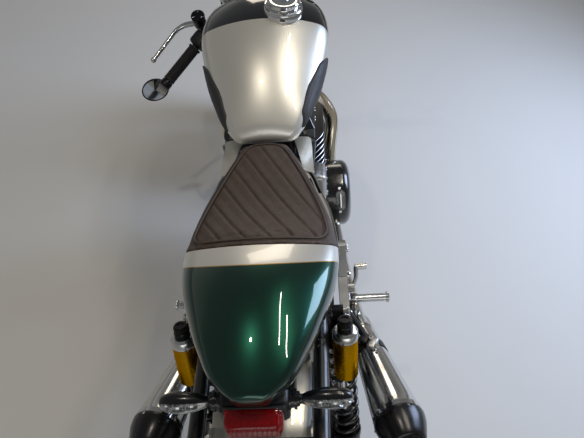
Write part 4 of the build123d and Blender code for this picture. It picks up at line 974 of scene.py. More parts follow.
def flank_reach(row: Section, shoulder: float, z: float) -> float:
    """How far a section reaches to the side at a height."""
    outline = crown_outline(row, shoulder)[8:42]
    ordered = sorted(outline, key=lambda p: p[1])
    return float(np.interp(z, [p[1] for p in ordered], [p[0] for p in ordered]))


def rounded_ends(low: float, high: float, radius: float, spacing: float) -> list[tuple[float, float]]:
    """Places along a body with rounded ends, each with how far it is drawn in.

    Args:
        low: the rear end.
        high: the front end.
        radius: the radius of the ends' edges.
        spacing: the distance between places.

    Returns:
        (place, inset) pairs.
    """
    near = [radius * (1 - math.cos(t)) for t in np.linspace(0, math.pi / 2, 7)]
    places = [low + d for d in near] + list(np.arange(low + radius + spacing, high - radius, spacing))
    places += [high - d for d in reversed(near)]
    rows = []
    for place in places:
        depth = min(place - low, high - place, radius)
        inset = radius - math.sqrt(max(0.0, radius**2 - (radius - depth) ** 2))
        rows.append((float(place), inset))
    return rows


@dataclass
class Tank:
    """The fuel tank with its knee pads, edge seam and filler."""

    rear_y: float = 574
    length: float = 486
    half_width: float = 154
    base_z: float = 792
    height: float = 182
    shoulder: float = 0.66
    end_radius: float = 16
    tunnel_radius: float = 30
    pad_thickness: float = 5
    pad_outline: tuple = ((20, 26), (150, 24), (204, 54), (214, 82), (172, 98), (104, 84), (44, 56))
    filler_x: float = 52
    filler_share: float = 0.572
    # the black front's edge: its place on the crown, its bow, and how it leans back below a height
    edge_y: float = 822
    edge_bow: float = 20
    edge_lean: float = 0.35
    edge_knee_z: float = 890
    # the frame's spine under the tank: places along the machine, and its heights there
    spine_y: tuple = (640, 940, 1149.7)
    spine_z: tuple = (755, 775, 850)
    # rows: along, width, side, top, base width and base, as shares
    rows: tuple[tuple[float, ...], ...] = (
        (0.00, 0.43, 0.10, 0.20, 0.36, 0.00), (0.06, 0.57, 0.16, 0.34, 0.46, 0.00),
        (0.20, 0.76, 0.25, 0.61, 0.58, 0.00), (0.40, 0.94, 0.42, 0.87, 0.72, 0.00),
        (0.58, 1.02, 0.56, 0.99, 0.76, 0.00), (0.76, 0.95, 0.56, 0.97, 0.70, 0.04),
        (0.92, 0.74, 0.44, 0.78, 0.52, 0.10), (1.00, 0.54, 0.36, 0.58, 0.40, 0.16))

    def sections(self) -> list[Section]:
        """The rows as real sections."""
        return [
            Section(
                self.rear_y + a * self.length, w * self.half_width, self.base_z + s * self.height,
                self.base_z + t * self.height, bw * self.half_width, self.base_z + b * self.height)
            for a, w, s, t, bw, b in self.rows]

    def spine_height(self, y: float) -> float:
        """The height of the frame's spine under a place along the tank."""
        return float(np.interp(y, self.spine_y, self.spine_z))

    def front_edge(self, point: Point) -> float:
        """How far a point lies ahead of the painted boundary of the black front."""
        x, y, z = point
        return (
            y - self.edge_y - self.edge_bow * (x / 150) ** 2
            - self.edge_lean * max(0.0, self.edge_knee_z - z))

    def body(self) -> Shell:
        """The painted skin."""
        rows, rings, zones = self.sections(), [], []
        for y, inset in rounded_ends(self.rear_y, self.rear_y + self.length, self.end_radius, 5.0):
            spine = self.spine_height(y)
            reach = self.tunnel_radius

            def tunnel(x: float, spine: float = spine) -> float:
                """The tunnel's roof over the spine."""
                return spine + math.sqrt(max(0.0, reach**2 - x**2))

            outline = crown_outline(section_at(rows, y), self.shoulder, inset, tunnel)
            ring = [(x, y, z) for x, z in outline]
            rings.append(ring)
            zones.append([self.front_edge(p) for p in ring])
        return Shell().loft(rings, zones=zones)

    def seam(self) -> Shell:
        """The welded lip round the tank's lower edge."""
        rows, shell = self.sections(), Shell()
        places = np.linspace(self.rear_y + 16, self.rear_y + self.length - 14, 60)
        path = []
        for y in places:
            row = section_at(rows, float(y))
            path.append((row.base_half + 2.0, float(y), row.base_z + 2.0))
        return shell.tube(path, 3.0, segments=10).mirrored()

    def pads(self) -> Shell:
        """Rubber knee pads with a raised rim and shallow ribs."""
        rear, base = self.rear_y, self.base_z
        corners = [(rear + ahead, base + rise) for ahead, rise in self.pad_outline]
        loop = outline_loop(corners, 0.32)
        middle, rows = middle_of(loop), self.sections()
        # millimetres in from the edge, and height over the paint as a share of the pad's thickness
        profile = (
            (0, -0.6), (0, 0.35), (0.8, 0.8), (2.2, 1.0), (5.0, 1.0), (6.5, 0.62), (8.0, 0.6), (9.5, 0.8),
            (12, 0.86), (20, 0.9), (30, 0.9), (42, 0.9), (60, 0.9), (90, 0.9))
        rings = []
        for inset, rise in profile:
            ring = []
            for point in loop:
                y, z = shrunk(point, middle, inset)
                reach = flank_reach(section_at(rows, y), self.shoulder, z)
                out = unit((1, 0, 0.25))
                ring.append(Vector((reach, y, z)) + out * self.pad_thickness * rise)
            rings.append(ring)
        return Shell().loft(rings, caps=(False, True)).mirrored()

    def filler_plane(self) -> tuple[Vector, Matrix]:
        """The filler's place on the tank and its axes."""
        up = unit((0.1, -0.02, 1))
        right = (ACROSS - up * up.x).normalized()
        at = Vector((self.filler_x, self.rear_y + self.filler_share * self.length, self.base_z + self.height))
        return at, Matrix((right, up.cross(right), up)).transposed()

    def build(self, machine: Machine) -> None:
        """Builds and dresses the tank's pieces."""
        self.body().build(
            "fuel_tank_skin", machine, "silver_tank_paint", TANK_PAINT, stands_for=["fuel_tank"], smooth=50)
        self.seam().build("fuel_tank_seam", machine, "silver_tank_paint", SILVER_PAINT)
        self.pads().build(
            "knee_pads_rubber", machine, "knee_pad_rubber", PAD_RUBBER, stands_for=["knee_pads"], smooth=60)
        at, axes = self.filler_plane()
        up = axes.col[2]
        ring = Shell().lathe(
            at, up, ((-14, 46), (1, 46), (3, 45), (4, 44), (8, 44), (8.4, 43), (8.4, 39)), segments=72)
        for turn in turns(6, 0.25):
            ring.bolt(at + axes @ Vector((*polar(41.3, turn), 8)), up, 1.9)
        ring.build("filler_trim", machine, "chrome_plate", CHROME)
        cap = Shell().lathe(
            at + up * 20, up, ((-5, 37), (-4, 38.6), (-1, 38.6), (1.2, 36.5), (1.6, 31), (0.2, 28), (0.2, 13),
                (1.6, 11.5), (3.4, 10), (3.8, 7), (3.8, 0.01)), segments=72)
        for turn in turns(36):
            knurl = at + axes @ Vector((*polar(38.4, turn), 17.4))
            cap.box(knurl, (2.2, 2.2, 3.4), axes @ Matrix.Rotation(turn, 3, "Z"), 0.6, segments=1)
        cap.build("filler_cap_top", machine, "chrome_plate", CHROME, body=Body.LID)
        machine.dress(CHROME, "filler_base", "filler_lid")


# The leaning face where the seat's back meets the tail
HUMP_TILT = math.radians(29)
HUMP_FACE = Vector((0, 231, 862))
HUMP_NORMAL = Vector((0, math.cos(HUMP_TILT), math.sin(HUMP_TILT)))
# What the seat and the tail share
SEAT_HALF_WIDTH = 148
SEAT_BASE_Z = 760
SEAT_SHOULDER = 0.7


def hump_sections(
        rows: Sequence[Sequence[float]], end_y: float, half_width: float, base_z: float) -> list[Section]:
    """Sections of the seat or tail from rows of shares and heights over the seat's base.

    Args:
        rows: along, half width, side, top, base half width and base.
        end_y: the end that the rows run to.
        half_width: the seat's half width.
        base_z: the seat's base.

    Returns:
        The sections.
    """
    return [
        Section(
            HUMP_FACE.y + a * (end_y - HUMP_FACE.y), w * half_width, base_z + s, base_z + t, b * half_width,
            base_z + f)
        for a, w, s, t, b, f in rows]


def cut_mesh(shell: Shell, plane_point: Vector, plane_normal: Vector) -> bpy.types.Mesh:
    """A shell's mesh with what lies beyond a plane cut away and the cut filled.

    Args:
        shell: the shell.
        plane_point: a point of the plane.
        plane_normal: points to the side that goes.

    Returns:
        The mesh, in millimetres.
    """
    mesh = bpy.data.meshes.new("cut")
    mesh.from_pydata([tuple(p) for p in shell.points], [], shell.faces)
    work = bmesh.new()
    work.from_mesh(mesh)
    geometry = list(work.verts) + list(work.edges) + list(work.faces)
    cut = bmesh.ops.bisect_plane(
        work, geom=geometry, plane_co=plane_point, plane_no=plane_normal, clear_outer=True)
    edges = [e for e in cut["geom_cut"] if isinstance(e, bmesh.types.BMEdge)]
    bmesh.ops.contextual_create(work, geom=edges)
    bmesh.ops.recalc_face_normals(work, faces=work.faces)
    work.to_mesh(mesh)
    work.free()
    return mesh


@dataclass
class Seat:
    """The quilted seat pad: foam under leather, with a piped seam round its quilted panel."""

    half_width: float = SEAT_HALF_WIDTH
    base_z: float = SEAT_BASE_Z
    nose_y: float = 568
    shoulder: float = SEAT_SHOULDER
    border: float = 22
    rear_border: float = 14
    nose_border: float = 13
    panel_corner: float = 22
    seam_depth: float = 2.6
    seam_width: float = 2.0
    channel_pitch: float = 39.5
    channel_start: float = 266
    channel_width: float = 2.5
    channel_depth: float = 3.6
    cross_share: float = 0.12
    puff: float = 1.1
    voxel: float = 5.0
    swell_cap: float = 3.0
    rows: tuple[tuple[float, ...], ...] = (
        (1.000, 0.36, 36, 52, 0.29, 0), (0.858, 0.52, 30, 49, 0.44, 0), (0.650, 0.73, 22, 46, 0.65, 0),
        (0.442, 0.90, 18, 48, 0.82, 0), (0.234, 0.99, 22, 68, 0.90, 0), (0.056, 1.00, 32, 97, 0.90, 0),
        (-0.122, 0.94, 46, 116, 0.84, 0))

    def sections(self) -> list[Section]:
        """The rows as real sections."""
        return hump_sections(self.rows, self.nose_y, self.half_width, self.base_z)

    def blank(self) -> bpy.types.Mesh:
        """The plain pad, a little smaller than its CAD solid so that it can swell."""
        rows, rings = self.sections(), []
        for y, inset in rounded_ends(192, self.nose_y, 12.0, 6.0):
            drawn_in = inset if y > 300 else 0.0
            rings.append(
                [(x, y, z) for x, z in crown_outline(section_at(rows, y), self.shoulder, drawn_in + 1.2)])
        return cut_mesh(Shell().loft(rings), HUMP_FACE + HUMP_NORMAL * 1.0, -HUMP_NORMAL)

    def baked(self, obj: bpy.types.Object) -> bpy.types.Mesh:
        """The object's mesh with its modifiers applied."""
        graph = bpy.context.evaluated_depsgraph_get()
        return bpy.data.meshes.new_from_object(obj.evaluated_get(graph), depsgraph=graph)

    def swollen(self, mesh: bpy.types.Mesh) -> bpy.types.Mesh:
        """The pad after its foam has pressed the leather out.

        Args:
            mesh: the plain pad, in millimetres.

        Returns:
            The swollen, finer mesh, in millimetres.
        """
        mesh.transform(Matrix.Scale(MM, 4))
        obj = bpy.data.objects.new("seat_cloth", mesh)
        bpy.context.scene.collection.objects.link(obj)
        remesh = obj.modifiers.new("voxels", "REMESH")
        remesh.mode, remesh.voxel_size = "VOXEL", self.voxel * MM
        obj.data = self.baked(obj)
        obj.modifiers.clear()
        rest = np.array([v.co for v in obj.data.vertices])
        held = obj.vertex_groups.new(name="held")
        for index, point in enumerate(rest):
            upright = Vector(point) / MM
            behind = (upright - HUMP_FACE).dot(HUMP_NORMAL)
            if upright.z < self.base_z + 9 or behind < 5:
                held.add([index], 1.0, "REPLACE")
        cloth = obj.modifiers.new("cloth", "CLOTH")
        cloth.settings.use_pressure = True
        cloth.settings.uniform_pressure_force = 4.0
        cloth.settings.effector_weights.gravity = 0.0
        cloth.settings.vertex_group_mass = "held"
        cloth.settings.quality = 5
        scene = bpy.context.scene
        for step in range(1, 21):
            scene.frame_set(step)
        moved = np.array([v.co for v in self.baked(obj).vertices])
        scene.frame_set(1)
        obj.modifiers.clear()
        shift = moved - rest
        length = np.linalg.norm(shift, axis=1, keepdims=True)
        shift *= np.minimum(1.0, self.swell_cap * MM / np.maximum(length, 1e-9))
        obj.data.vertices.foreach_set("co", (rest + shift).ravel())
        obj.vertex_groups.clear()
        finer = obj.modifiers.new("finer", "SUBSURF")
        finer.levels = 1
        result = self.baked(obj)
        bpy.data.objects.remove(obj)
        result.transform(Matrix.Scale(1 / MM, 4))
        return result

    def panel_depth(self, point: Point) -> float:
        """How far inside the quilted panel's seam a point of the top lies, rounded at its corners.

        Args:
            point: a point of the pad's top.

        Returns:
            Millimetres, negative outside the seam.
        """
        x, y, z = point
        row = section_at(self.sections(), min(max(y, 200), self.nose_y))
        side = row.half_width - self.border - abs(x)
        rear = (Vector((x, y, z)) - HUMP_FACE).dot(HUMP_NORMAL) - self.rear_border
        nose = self.nose_y - self.nose_border - y
        reach = [max(0.0, self.panel_corner - d) for d in (side, rear, nose)]
        if max(reach) == 0.0:
            return min(side, rear, nose)
        return min(self.panel_corner - math.sqrt(sum(r * r for r in reach)), max(side, rear, nose))

    def relief(self, point: Point) -> float:
        """How far the leather stands out at a point of the top, with its seam and sewn channels.

        Args:
            point: a point of the pad's top.

        Returns:
            Millimetres outwards.
        """
        depth = self.panel_depth(point)
        seam = -self.seam_depth * math.exp(-((depth / self.seam_width) ** 2))
        if depth < 0:
            return seam + 0.8 * math.exp(-((depth + 8) / 7) ** 2)
        fade = min(1.0, depth / 7.0)
        out = 0.0
        for share, normal, start in (
            (1.0, (0.866, 0.5), self.channel_start),
            (self.cross_share, (-0.866, 0.5), self.channel_start - 12)):
            along = point[0] * normal[0] + point[1] * normal[1] - start
            off = along - round(along / self.channel_pitch) * self.channel_pitch
            swell = self.puff * (1 - (2 * off / self.channel_pitch) ** 2)
            out += share * (swell - self.channel_depth * math.exp(-((off / self.channel_width) ** 2)))
        return seam + fade * out

    def seam_path(self, offset: float) -> list[Vector]:
        """A line round the quilted panel, a given distance inside its seam.

        Args:
            offset: millimetres inside the seam.

        Returns:
            The points of the line on the pad's top.
        """
        middle, path = Vector((0, 372)), []
        rows = self.sections()
        for turn in np.linspace(0, 2 * math.pi, 181)[:-1]:
            low, high = 0.0, 260.0
            for _ in range(22):
                reach = (low + high) / 2
                x, y = middle.x + reach * math.cos(turn), middle.y + reach * math.sin(turn)
                inside = abs(x) < self.half_width and 205 < y < self.nose_y
                z = top_height(section_at(rows, min(max(y, 200), self.nose_y)), self.shoulder, x)
                if inside and self.panel_depth((x, y, z)) > offset:
                    low = reach
                else:
                    high = reach
            x, y = middle.x + low * math.cos(turn), middle.y + low * math.sin(turn)
            path.append(Vector((x, y, top_height(section_at(rows, y), self.shoulder, x))))
        return path

    def build(self, machine: Machine) -> None:
        """Builds the cushion, its piping and its stitches."""
        mesh = self.swollen(self.blank())
        mesh.update()
        normals = [v.normal.copy() for v in mesh.vertices]
        for vertex, normal in zip(mesh.vertices, normals):
            if normal.z > 0.25 and vertex.co.z > self.base_z + 24:
                share = min(1.0, (normal.z - 0.25) / 0.3)
                vertex.co += normal * self.relief(vertex.co) * share
        mesh.attributes.new("zone", "FLOAT", "POINT")
        cushion = settle(
            mesh, "seat_cushion", machine, Body.CHASSIS, "brown_leather", [LEATHER], ["seat_pad"], 70)
        swell = 2.6
        lifted = [p + Vector((0, 0, swell - 1.4)) for p in self.seam_path(-1.4)]
        piping = Shell().tube(lifted, 2.0, segments=10, closed=True)
        piping.build("seat_piping", machine, "brown_leather", LEATHER, smooth=80)
        stitches = Shell()
        line = [p + Vector((0, 0, swell - 0.6)) for p in self.seam_path(-6.0)]
        for before, after in zip(line, line[1:] + line[:1]):
            along = after - before
            count = max(1, round(along.length / 5.0))
            for k in range(count):
                middle = before + along * (k + 0.5) / count
                out = unit((middle.x * 0.006, 0, 1))
                ahead = along.normalized()
                axes = Matrix((ahead, out.cross(ahead), out)).transposed()
                stitches.box(middle, (3.4, 0.9, 0.9), axes, 0.3, segments=1)
        stitches.build("seat_stitches", machine, "brown_leather", THREAD)


def indicator_pair(start: Vector, length: float) -> Shell:
    """Two indicators: stepped root, hooded black shell, clear lens and three mirror bowls behind it.

    Args:
        start: where the right one's root begins.
        length: from there to its tip.

    Returns:
        The pair.
    """
    steps = (
        (0, 17), (3, 17), (3.2, 13.5), (8, 13.5), (8.2, 16), (12, 16), (12.2, 12), (16, 12), (17, 8),
        (24, 7.5))
    shell, hood = Shell().lathe(start, ACROSS, steps, segments=32), math.radians(60)
    body = length - 20
    shares, widths = (0, 0.12, 0.3, 0.5, 0.72, 0.87, 0.96, 1), (0.44, 0.66, 0.88, 1.0, 0.97, 0.78, 0.46, 0.02)
    for tone, first, last, grow in ((0, -96, 96, 1.0), (1, 96, 264, 1.03)):
        rings = []
        for t in 0.5 - 0.5 * np.cos(np.linspace(0, math.pi, 25)):
            size = blend_between(shares, widths, float(t)) * grow
            ring = []
            for a in np.linspace(math.radians(first), math.radians(last), 17):
                turn = float(a) + hood
                out = Vector((0, 16.5 * size * math.sin(turn), 18.5 * size * math.cos(turn)))
                ring.append(start + Vector((20 + float(t) * body, 0, 0)) + out)
            rings.append(ring)
        shell.loft(rings, tone)
    look = Vector((0, -math.cos(hood), -math.sin(hood)))
    for share, size in ((0.36, 0.8), (0.62, 1.0), (0.82, 0.62)):
        bowl = [
            (along * size, around * size)
            for along, around in ((0, 4), (3, 9), (8, 12.5), (9, 12.5), (6, 8), (4, 0.01))]
        shell.lathe(start + Vector((20 + share * body, 0, 0)) - look, look, bowl, 2, 28)
    return shell.mirrored()


@dataclass
class Tail:
    """The tail: painted cowl, lamp, indicators, mudguard and bare plate."""

    tip_y: float = -52
    half_width: float = SEAT_HALF_WIDTH
    base_z: float = SEAT_BASE_Z
    shoulder: float = SEAT_SHOULDER
    band_width: float = 39
    lamp_half_width: float = 46
    lamp_z: float = 787
    indicator_y: float = -22
    indicator_reach: float = 155
    rows: tuple[tuple[float, ...], ...] = (
        (-0.208, 0.99, 26, 78, 0.90, 0), (0.000, 0.985, 36, 102, 0.88, 0), (0.191, 0.93, 48, 119, 0.82, 0),
        (0.463, 0.77, 66, 128, 0.66, 8), (0.710, 0.58, 82, 122, 0.48, 32), (0.901, 0.375, 90, 110, 0.30, 48),
        (1.000, 0.17, 93, 102, 0.13, 66))

    def cowl(self) -> bpy.types.Mesh:
        """The cowl's skin, cut off at the leaning face where the seat begins."""
        rows, rings = hump_sections(self.rows, self.tip_y, self.half_width, self.base_z), []
        for y, inset in rounded_ends(self.tip_y, 288, 9.0, 4.0):
            drawn_in = inset if y < 100 else 0.0
            rings.append([(x, y, z) for x, z in crown_outline(section_at(rows, y), self.shoulder, drawn_in)])
        mesh = cut_mesh(Shell().loft(rings), HUMP_FACE - HUMP_NORMAL * 0.25, HUMP_NORMAL)
        zone = mesh.attributes.new("zone", "FLOAT", "POINT")
        values = []
        for vertex in mesh.vertices:
            behind = -(vertex.co - HUMP_FACE).dot(HUMP_NORMAL)
            values.append(behind - self.band_width + 9 * (vertex.co.x / 144) ** 2)
        zone.data.foreach_set("value", values)
        return mesh

    def lamp(self, machine: Machine) -> None:
        """The tail lamp: black housing, mirror and faceted red lens."""
        half, z = self.lamp_half_width, self.lamp_z
        housing = Shell()
        housing.box((0, -26, z - 6), (2 * half + 16, 32, 60), None, 7)
        housing.box((0, -43.5, z), (2 * half + 6, 5, 50), None, 2)
        housing.build(
            "tail_lamp_housing", machine, "black_frame_enamel", BLACK_PLASTIC, stands_for=["tail_lamp_base"])
        mirror = Shell()
        mirror.box((0, -47, z), (2 * half - 5, 3, 38), None, 1)
        for column in range(8):
            x = -half + 8 + column * (2 * half - 16) / 7
            mirror.box((x, -52, z), (5, 9, 34), Matrix.Rotation(math.radians(45), 3, "Z"), 0.5)
        mirror.build("tail_lamp_mirror", machine, "chrome_plate", CHROME)
        lens = Shell()
        loops = []
        for depth, draw in ((-44.5, 0), (-66, 1.5), (-71, 4), (-74.5, 8), (-76, 13)):
            width, height = half - draw, 22 - draw * 0.8
            corner = 9 - draw * 0.3
            corners = ((-width, -height), (width, -height), (width, height), (-width, height))
            share = corner / (2 * height) * 1.6
            loops.append([(x, depth, z + h) for x, h in outline_loop(corners, min(0.45, share))])
        lens.loft(loops)
        lens.build(
            "tail_lamp_red_lens", machine, "red_lens", RED_LENS, stands_for=["tail_lamp_lens"], smooth=28)
        facets = Shell()
        for column in range(11):
            x = -half + 9 + column * (2 * half - 18) / 10
            facets.lathe((x, -73.4, z - 13), UP, ((0, 2.2), (2, 3.6), (24, 3.6), (26, 2.2)), segments=8)
            facets.lathe((x, -68.5, z + 17.4), AHEAD, ((0, 2.0), (2, 3.0), (20, 3.0), (22, 2.0)), segments=8)
        facets.build("tail_lamp_facets", machine, "red_lens", RED_LENS, smooth=20)

    def indicators(self, machine: Machine) -> None:
        """The rear indicators on their stepped rubber roots."""
        start = self.lamp_half_width + 8
        pair = indicator_pair(Vector((start, self.indicator_y, self.lamp_z)), self.indicator_reach - start)
        pair.build(
            "rear_indicator_lamps", machine, "black_frame_enamel", GLOSS_PLASTIC, CLEAR_LENS,
            TURNED_ALUMINIUM, stands_for=["rear_indicators"])

    def build(self, machine: Machine) -> None:
        """Builds and dresses the tail's pieces."""
        settle(
            self.cowl(), "tail_cowl_skin", machine, Body.CHASSIS, "green_metallic_paint", [COWL_PAINT],
            ["tail_cowl"], 40)
        self.lamp(machine)
        self.indicators(machine)
        machine.dress(SILVER_PAINT, "rear_mudguard")
        machine.dress(BLACK_PLASTIC, "seat_tray")
        machine.dress(PLATE_WHITE, "plate_bracket")


@dataclass
class Shocks:
    """Twin shock absorbers with coil springs and gas reservoirs."""

    top: tuple[float, float, float] = (140, 190, 690)
    foot: tuple[float, float, float] = (152, 46, 352)
    spring_radius: float = 30
    wire_radius: float = 5.0
    turns: float = 8.2
    can_bottom: tuple[float, float, float] = (151, 98, 618)
    can_axis: tuple[float, float, float] = (0, 0.33, 0.94)
    can_radius: float = 23
    can_length: float = 110

    def spring(self) -> Shell:
        """The coil spring between its two seats, its ends closed up."""
        top, foot = Vector(self.top), Vector(self.foot)
        down = (foot - top).normalized()
        start, length = top + down * 66, (foot - top).length - 130
        coil, path = self.spring_radius - self.wire_radius, []
        for k in range(int(self.turns * 24) + 1):
            t = k / (self.turns * 24)
            eased = 0.5 - 0.5 * math.cos(math.pi * t)
            along = self.wire_radius + (0.75 * t + 0.25 * eased) * (length - 2 * self.wire_radius)
            turn = 2 * math.pi * self.turns * t
            path.append(start + down * along + spoke(down, turn) * coil)
        shell = Shell().tube(path, self.wire_radius, segments=12)
        shell.lathe(start, down, ((-3, 30), (3, 30), (3, 18), (-3, 18)), 1, closed_loop=True)
        shell.lathe(
            start, down, ((length - 3, 31), (length + 4, 31), (length + 4, 18), (length - 3, 18)), 1,
            closed_loop=True)
        return shell.mirrored()

    def reservoir(self) -> Shell:
        """The gold can, its silver collar and its black adjuster."""
        bottom, axis, r, n = self.can_bottom, self.can_axis, self.can_radius, self.can_length
        shell = Shell()
        shell.lathe(
            bottom, axis, ((0, r - 5), (1.5, r - 1.5), (4, r), (n - 20, r), (n - 19, r - 0.8),
                (n - 17, r - 0.8)), 0, 56)
        shell.lathe(
            bottom, axis, ((n - 18, r + 0.8), (n - 3, r + 0.8), (n - 1, r - 0.5), (n + 2, r - 4)), 1, 56)
        shell.lathe(
            bottom, axis, ((n + 1, 15), (n + 11, 14.5), (n + 12, 13), (n + 24, 13), (n + 26, 11.5),
                (n + 26, 7), (n + 24, 6), (n + 24, 0.01)), 2, 48)
        for turn in turns(20):
            knurl = Vector(bottom) + unit(axis) * (n + 14) + spoke(unit(axis), turn) * 12.9
            shell.lathe(knurl, axis, ((0, 1.1), (9, 1.1)), 2, 6)
        return shell.mirrored()

    def bodies(self) -> Shell:
        """Heads, threaded collars, damper tubes and eyes."""
        top, foot = Vector(self.top), Vector(self.foot)
        down = (foot - top).normalized()
        length = (foot - top).length
        shell = Shell()
        shell.lathe(
            top, down, ((14, 15), (26, 24), (30, 27), (58, 27), (60, 30.5), (65, 30.5), (65, 20)), 0, 40)
        for k in range(7):
            shell.lathe(
                top + down * (33 + 3.4 * k), down, ((0, 27), (0.8, 28.4), (2.2, 28.4), (3.0, 27)), 0, 40,
                closed_loop=True)
        shell.lathe(top, down, ((60, 9), (length - 60, 9)), 1, 24)
        shell.lathe(top, down, ((length - 120, 16), (length - 62, 16)), 0, 28)
        shell.lathe(
            top, down, ((length - 62, 31), (length - 56, 31), (length - 50, 28), (length - 38, 28),
                (length - 30, 14), (length - 4, 12)), 0, 40)
        for end in (top, foot):
            shell.lathe(
                end - Vector((11, 0, 0)), ACROSS, ((0, 16), (22, 16), (22, 10), (0, 10)), 0, 32,
                closed_loop=True)
            shell.lathe(
                end - Vector((9, 0, 0)), ACROSS, ((-3, 9.4), (27, 9.4), (27, 13), (30, 13), (33, 9)), 2, 24)
        can = Vector(self.can_bottom) + unit(self.can_axis) * (self.can_length - 24)
        shell.tube([top + down * 44, (top + down * 44 + can) / 2, can], (17, 13, 12), 0, 20)
        return shell.mirrored()

    def build(self, machine: Machine) -> None:
        """Builds the springs, cans and bodies."""
        self.spring().build(
            "shock_coils", machine, "black_spring_steel", SPRING_STEEL, BLACK_ANODISED,
            stands_for=["shock_springs"], smooth=50)
        self.reservoir().build(
            "shock_gas_cans", machine, "gold_anodised", GOLD, TURNED_ALUMINIUM, BLACK_ANODISED,
            stands_for=["shock_reservoirs"])
        self.bodies().build(
            "shock_dampers", machine, "black_anodised", BLACK_ANODISED, CHROME, TURNED_ALUMINIUM,
            stands_for=["shock_bodies"])


@dataclass
class Exhaust:
    """Header pipes, megaphone silencers, end caps and hangers."""

    pipe_radius: float = 21
    route: tuple[tuple[float, float, float], ...] = (
        (74, 870, 640), (84, 956, 648), (122, 1018, 600), (170, 1012, 516), (149, 958, 398), (150, 850, 264),
        (172, 620, 262), (188, 470, 312), (199, 365, 352))
    start: tuple[float, float, float] = (199, 365, 352)
    end: tuple[float, float, float] = (261, 72, 441)
    mouth_radius: float = 54

    def silencer_line(self) -> tuple[Vector, Vector, float]:
        """The right silencer's front end, its direction and its length."""
        run = Vector(self.end) - Vector(self.start)
        return Vector(self.start), run.normalized(), run.length

    def headers(self) -> Shell:
        """The two header pipes with their flanges and clamps."""
        path = filleted(self.route, step=4.0)
        shell = Shell().tube(path, self.pipe_radius, segments=32, measured=True)
        flange = Vector(self.route[0]) + Vector((2, 42, 5))
        shell.lathe(flange, (0.09, 1, 0.1), ((0, 31), (7, 31), (7, 22), (0, 22)), 1, 32, closed_loop=True)
        start, along, _ = self.silencer_line()
        shell.lathe(start, along, ((-28, 23.5), (-4, 23.5), (-4, 21), (-28, 21)), 1, 32, closed_loop=True)
        shell.box(start + Vector((0, 14, 22)), (12, 22, 9), None, 2, 1)
        return shell.mirrored()

    def silencer(self) -> Shell:
        """The megaphone bodies with their bands and weld line."""
        start, along, length = self.silencer_line()
        grow = (self.mouth_radius - 32) / (length - 40)
        rows = [(0, 24), (1, 28.5), (4, 30), (34, 31.4), (36, 32.6), (42, 32.6), (44, 32.2)]
        rows += [(a, 32 + grow * (a - 40)) for a in np.linspace(52, length - 14, 12)]
        rows += [
            (length - 12, self.mouth_radius - 0.6), (length - 11, self.mouth_radius + 0.8),
            (length, self.mouth_radius + 0.8), (length, self.mouth_radius - 8)]
        shell = Shell().lathe(start, along, rows, 0, 72)
        first = across_axis(along)[0]
        inner = -first if first.x > 0 else first
        low = start + along * 46 + inner * 32.4
        high = start + along * (length - 14) + inner * (self.mouth_radius - 1)
        shell.tube([low, high], 1.0, 0, 8)
        return shell.mirrored()

    def caps(self) -> Shell:
        """The black end caps with a ringed outlet."""
        end, along = Vector(self.end), self.silencer_line()[1]
        rows = (
            (0, 50), (0.5, 55), (3, 56), (8, 55.8), (22, 53.5), (36, 48.5), (50, 43), (58, 39.5), (61, 37.5),
            (62, 35), (60.5, 33), (56, 32), (54, 30.5), (55, 28), (57.5, 26.5), (58, 24.5), (56, 22.5),
            (50, 21), (49, 20), (20, 20), (20, 0.01))
        shell = Shell().lathe(end, along, rows[:-3], 0, 72)
        # the outlet's inside in soot black, which is soot and also painted shade down the pipe
        shell.lathe(end, along, rows[-4:], 1, 48)
        for degrees in (70, 190, 310):
            out = spoke(along, math.radians(degrees))
            shell.bolt(end + along * 8 + out * 55.4, out, 3.2, 2)
        return shell.mirrored()

    def hangers(self) -> Shell:
        """Black strap round each silencer with a bright cast lug on it."""
        start, along, _ = self.silencer_line()
        shell = Shell().lathe(
            start + along * 100, along, ((0, 38.6), (24, 40.6), (24, 37.6), (0, 35.6)), 1, 56,
            closed_loop=True)
        shell.tube(filleted([(171, 350, 424), (192, 312, 430), (214, 272, 426)]), 9, 1, 16)
        shell.box((206, 276, 424), (22, 26, 22), Matrix.Rotation(math.radians(-28), 3, "Z"), 4, 1)
        shell.box((224, 262, 428), (24, 34, 20), Matrix.Rotation(math.radians(-24), 3, "Z"), 7, 0, 4)
        shell.bolt((232, 250, 437), (0.3, -0.3, 1), 6, 0)
        shell.bolt((220, 272, 438), UP, 5, 0)
        return shell.mirrored()

    def build(self, machine: Machine) -> None:
        """Builds the exhaust's pieces."""
        self.headers().build(
            "header_tubes", machine, "polished_steel", HEAT_TINT, STAINLESS, stands_for=["header_pipes"],
            smooth=45)
        self.silencer().build(
            "silencer_megaphones", machine, "polished_steel", STAINLESS, stands_for=["silencers"])
        self.caps().build(
            "silencer_black_caps", machine, "black_ceramic_coating", CERAMIC, SOOT_AND_SHADE, CHROME,
            stands_for=["silencer_end_caps"])
        self.hangers().build(
            "silencer_mounts", machine, "chrome_plate", CAST_ALUMINIUM, BLACK_PLASTIC,
            stands_for=["silencer_hangers"])


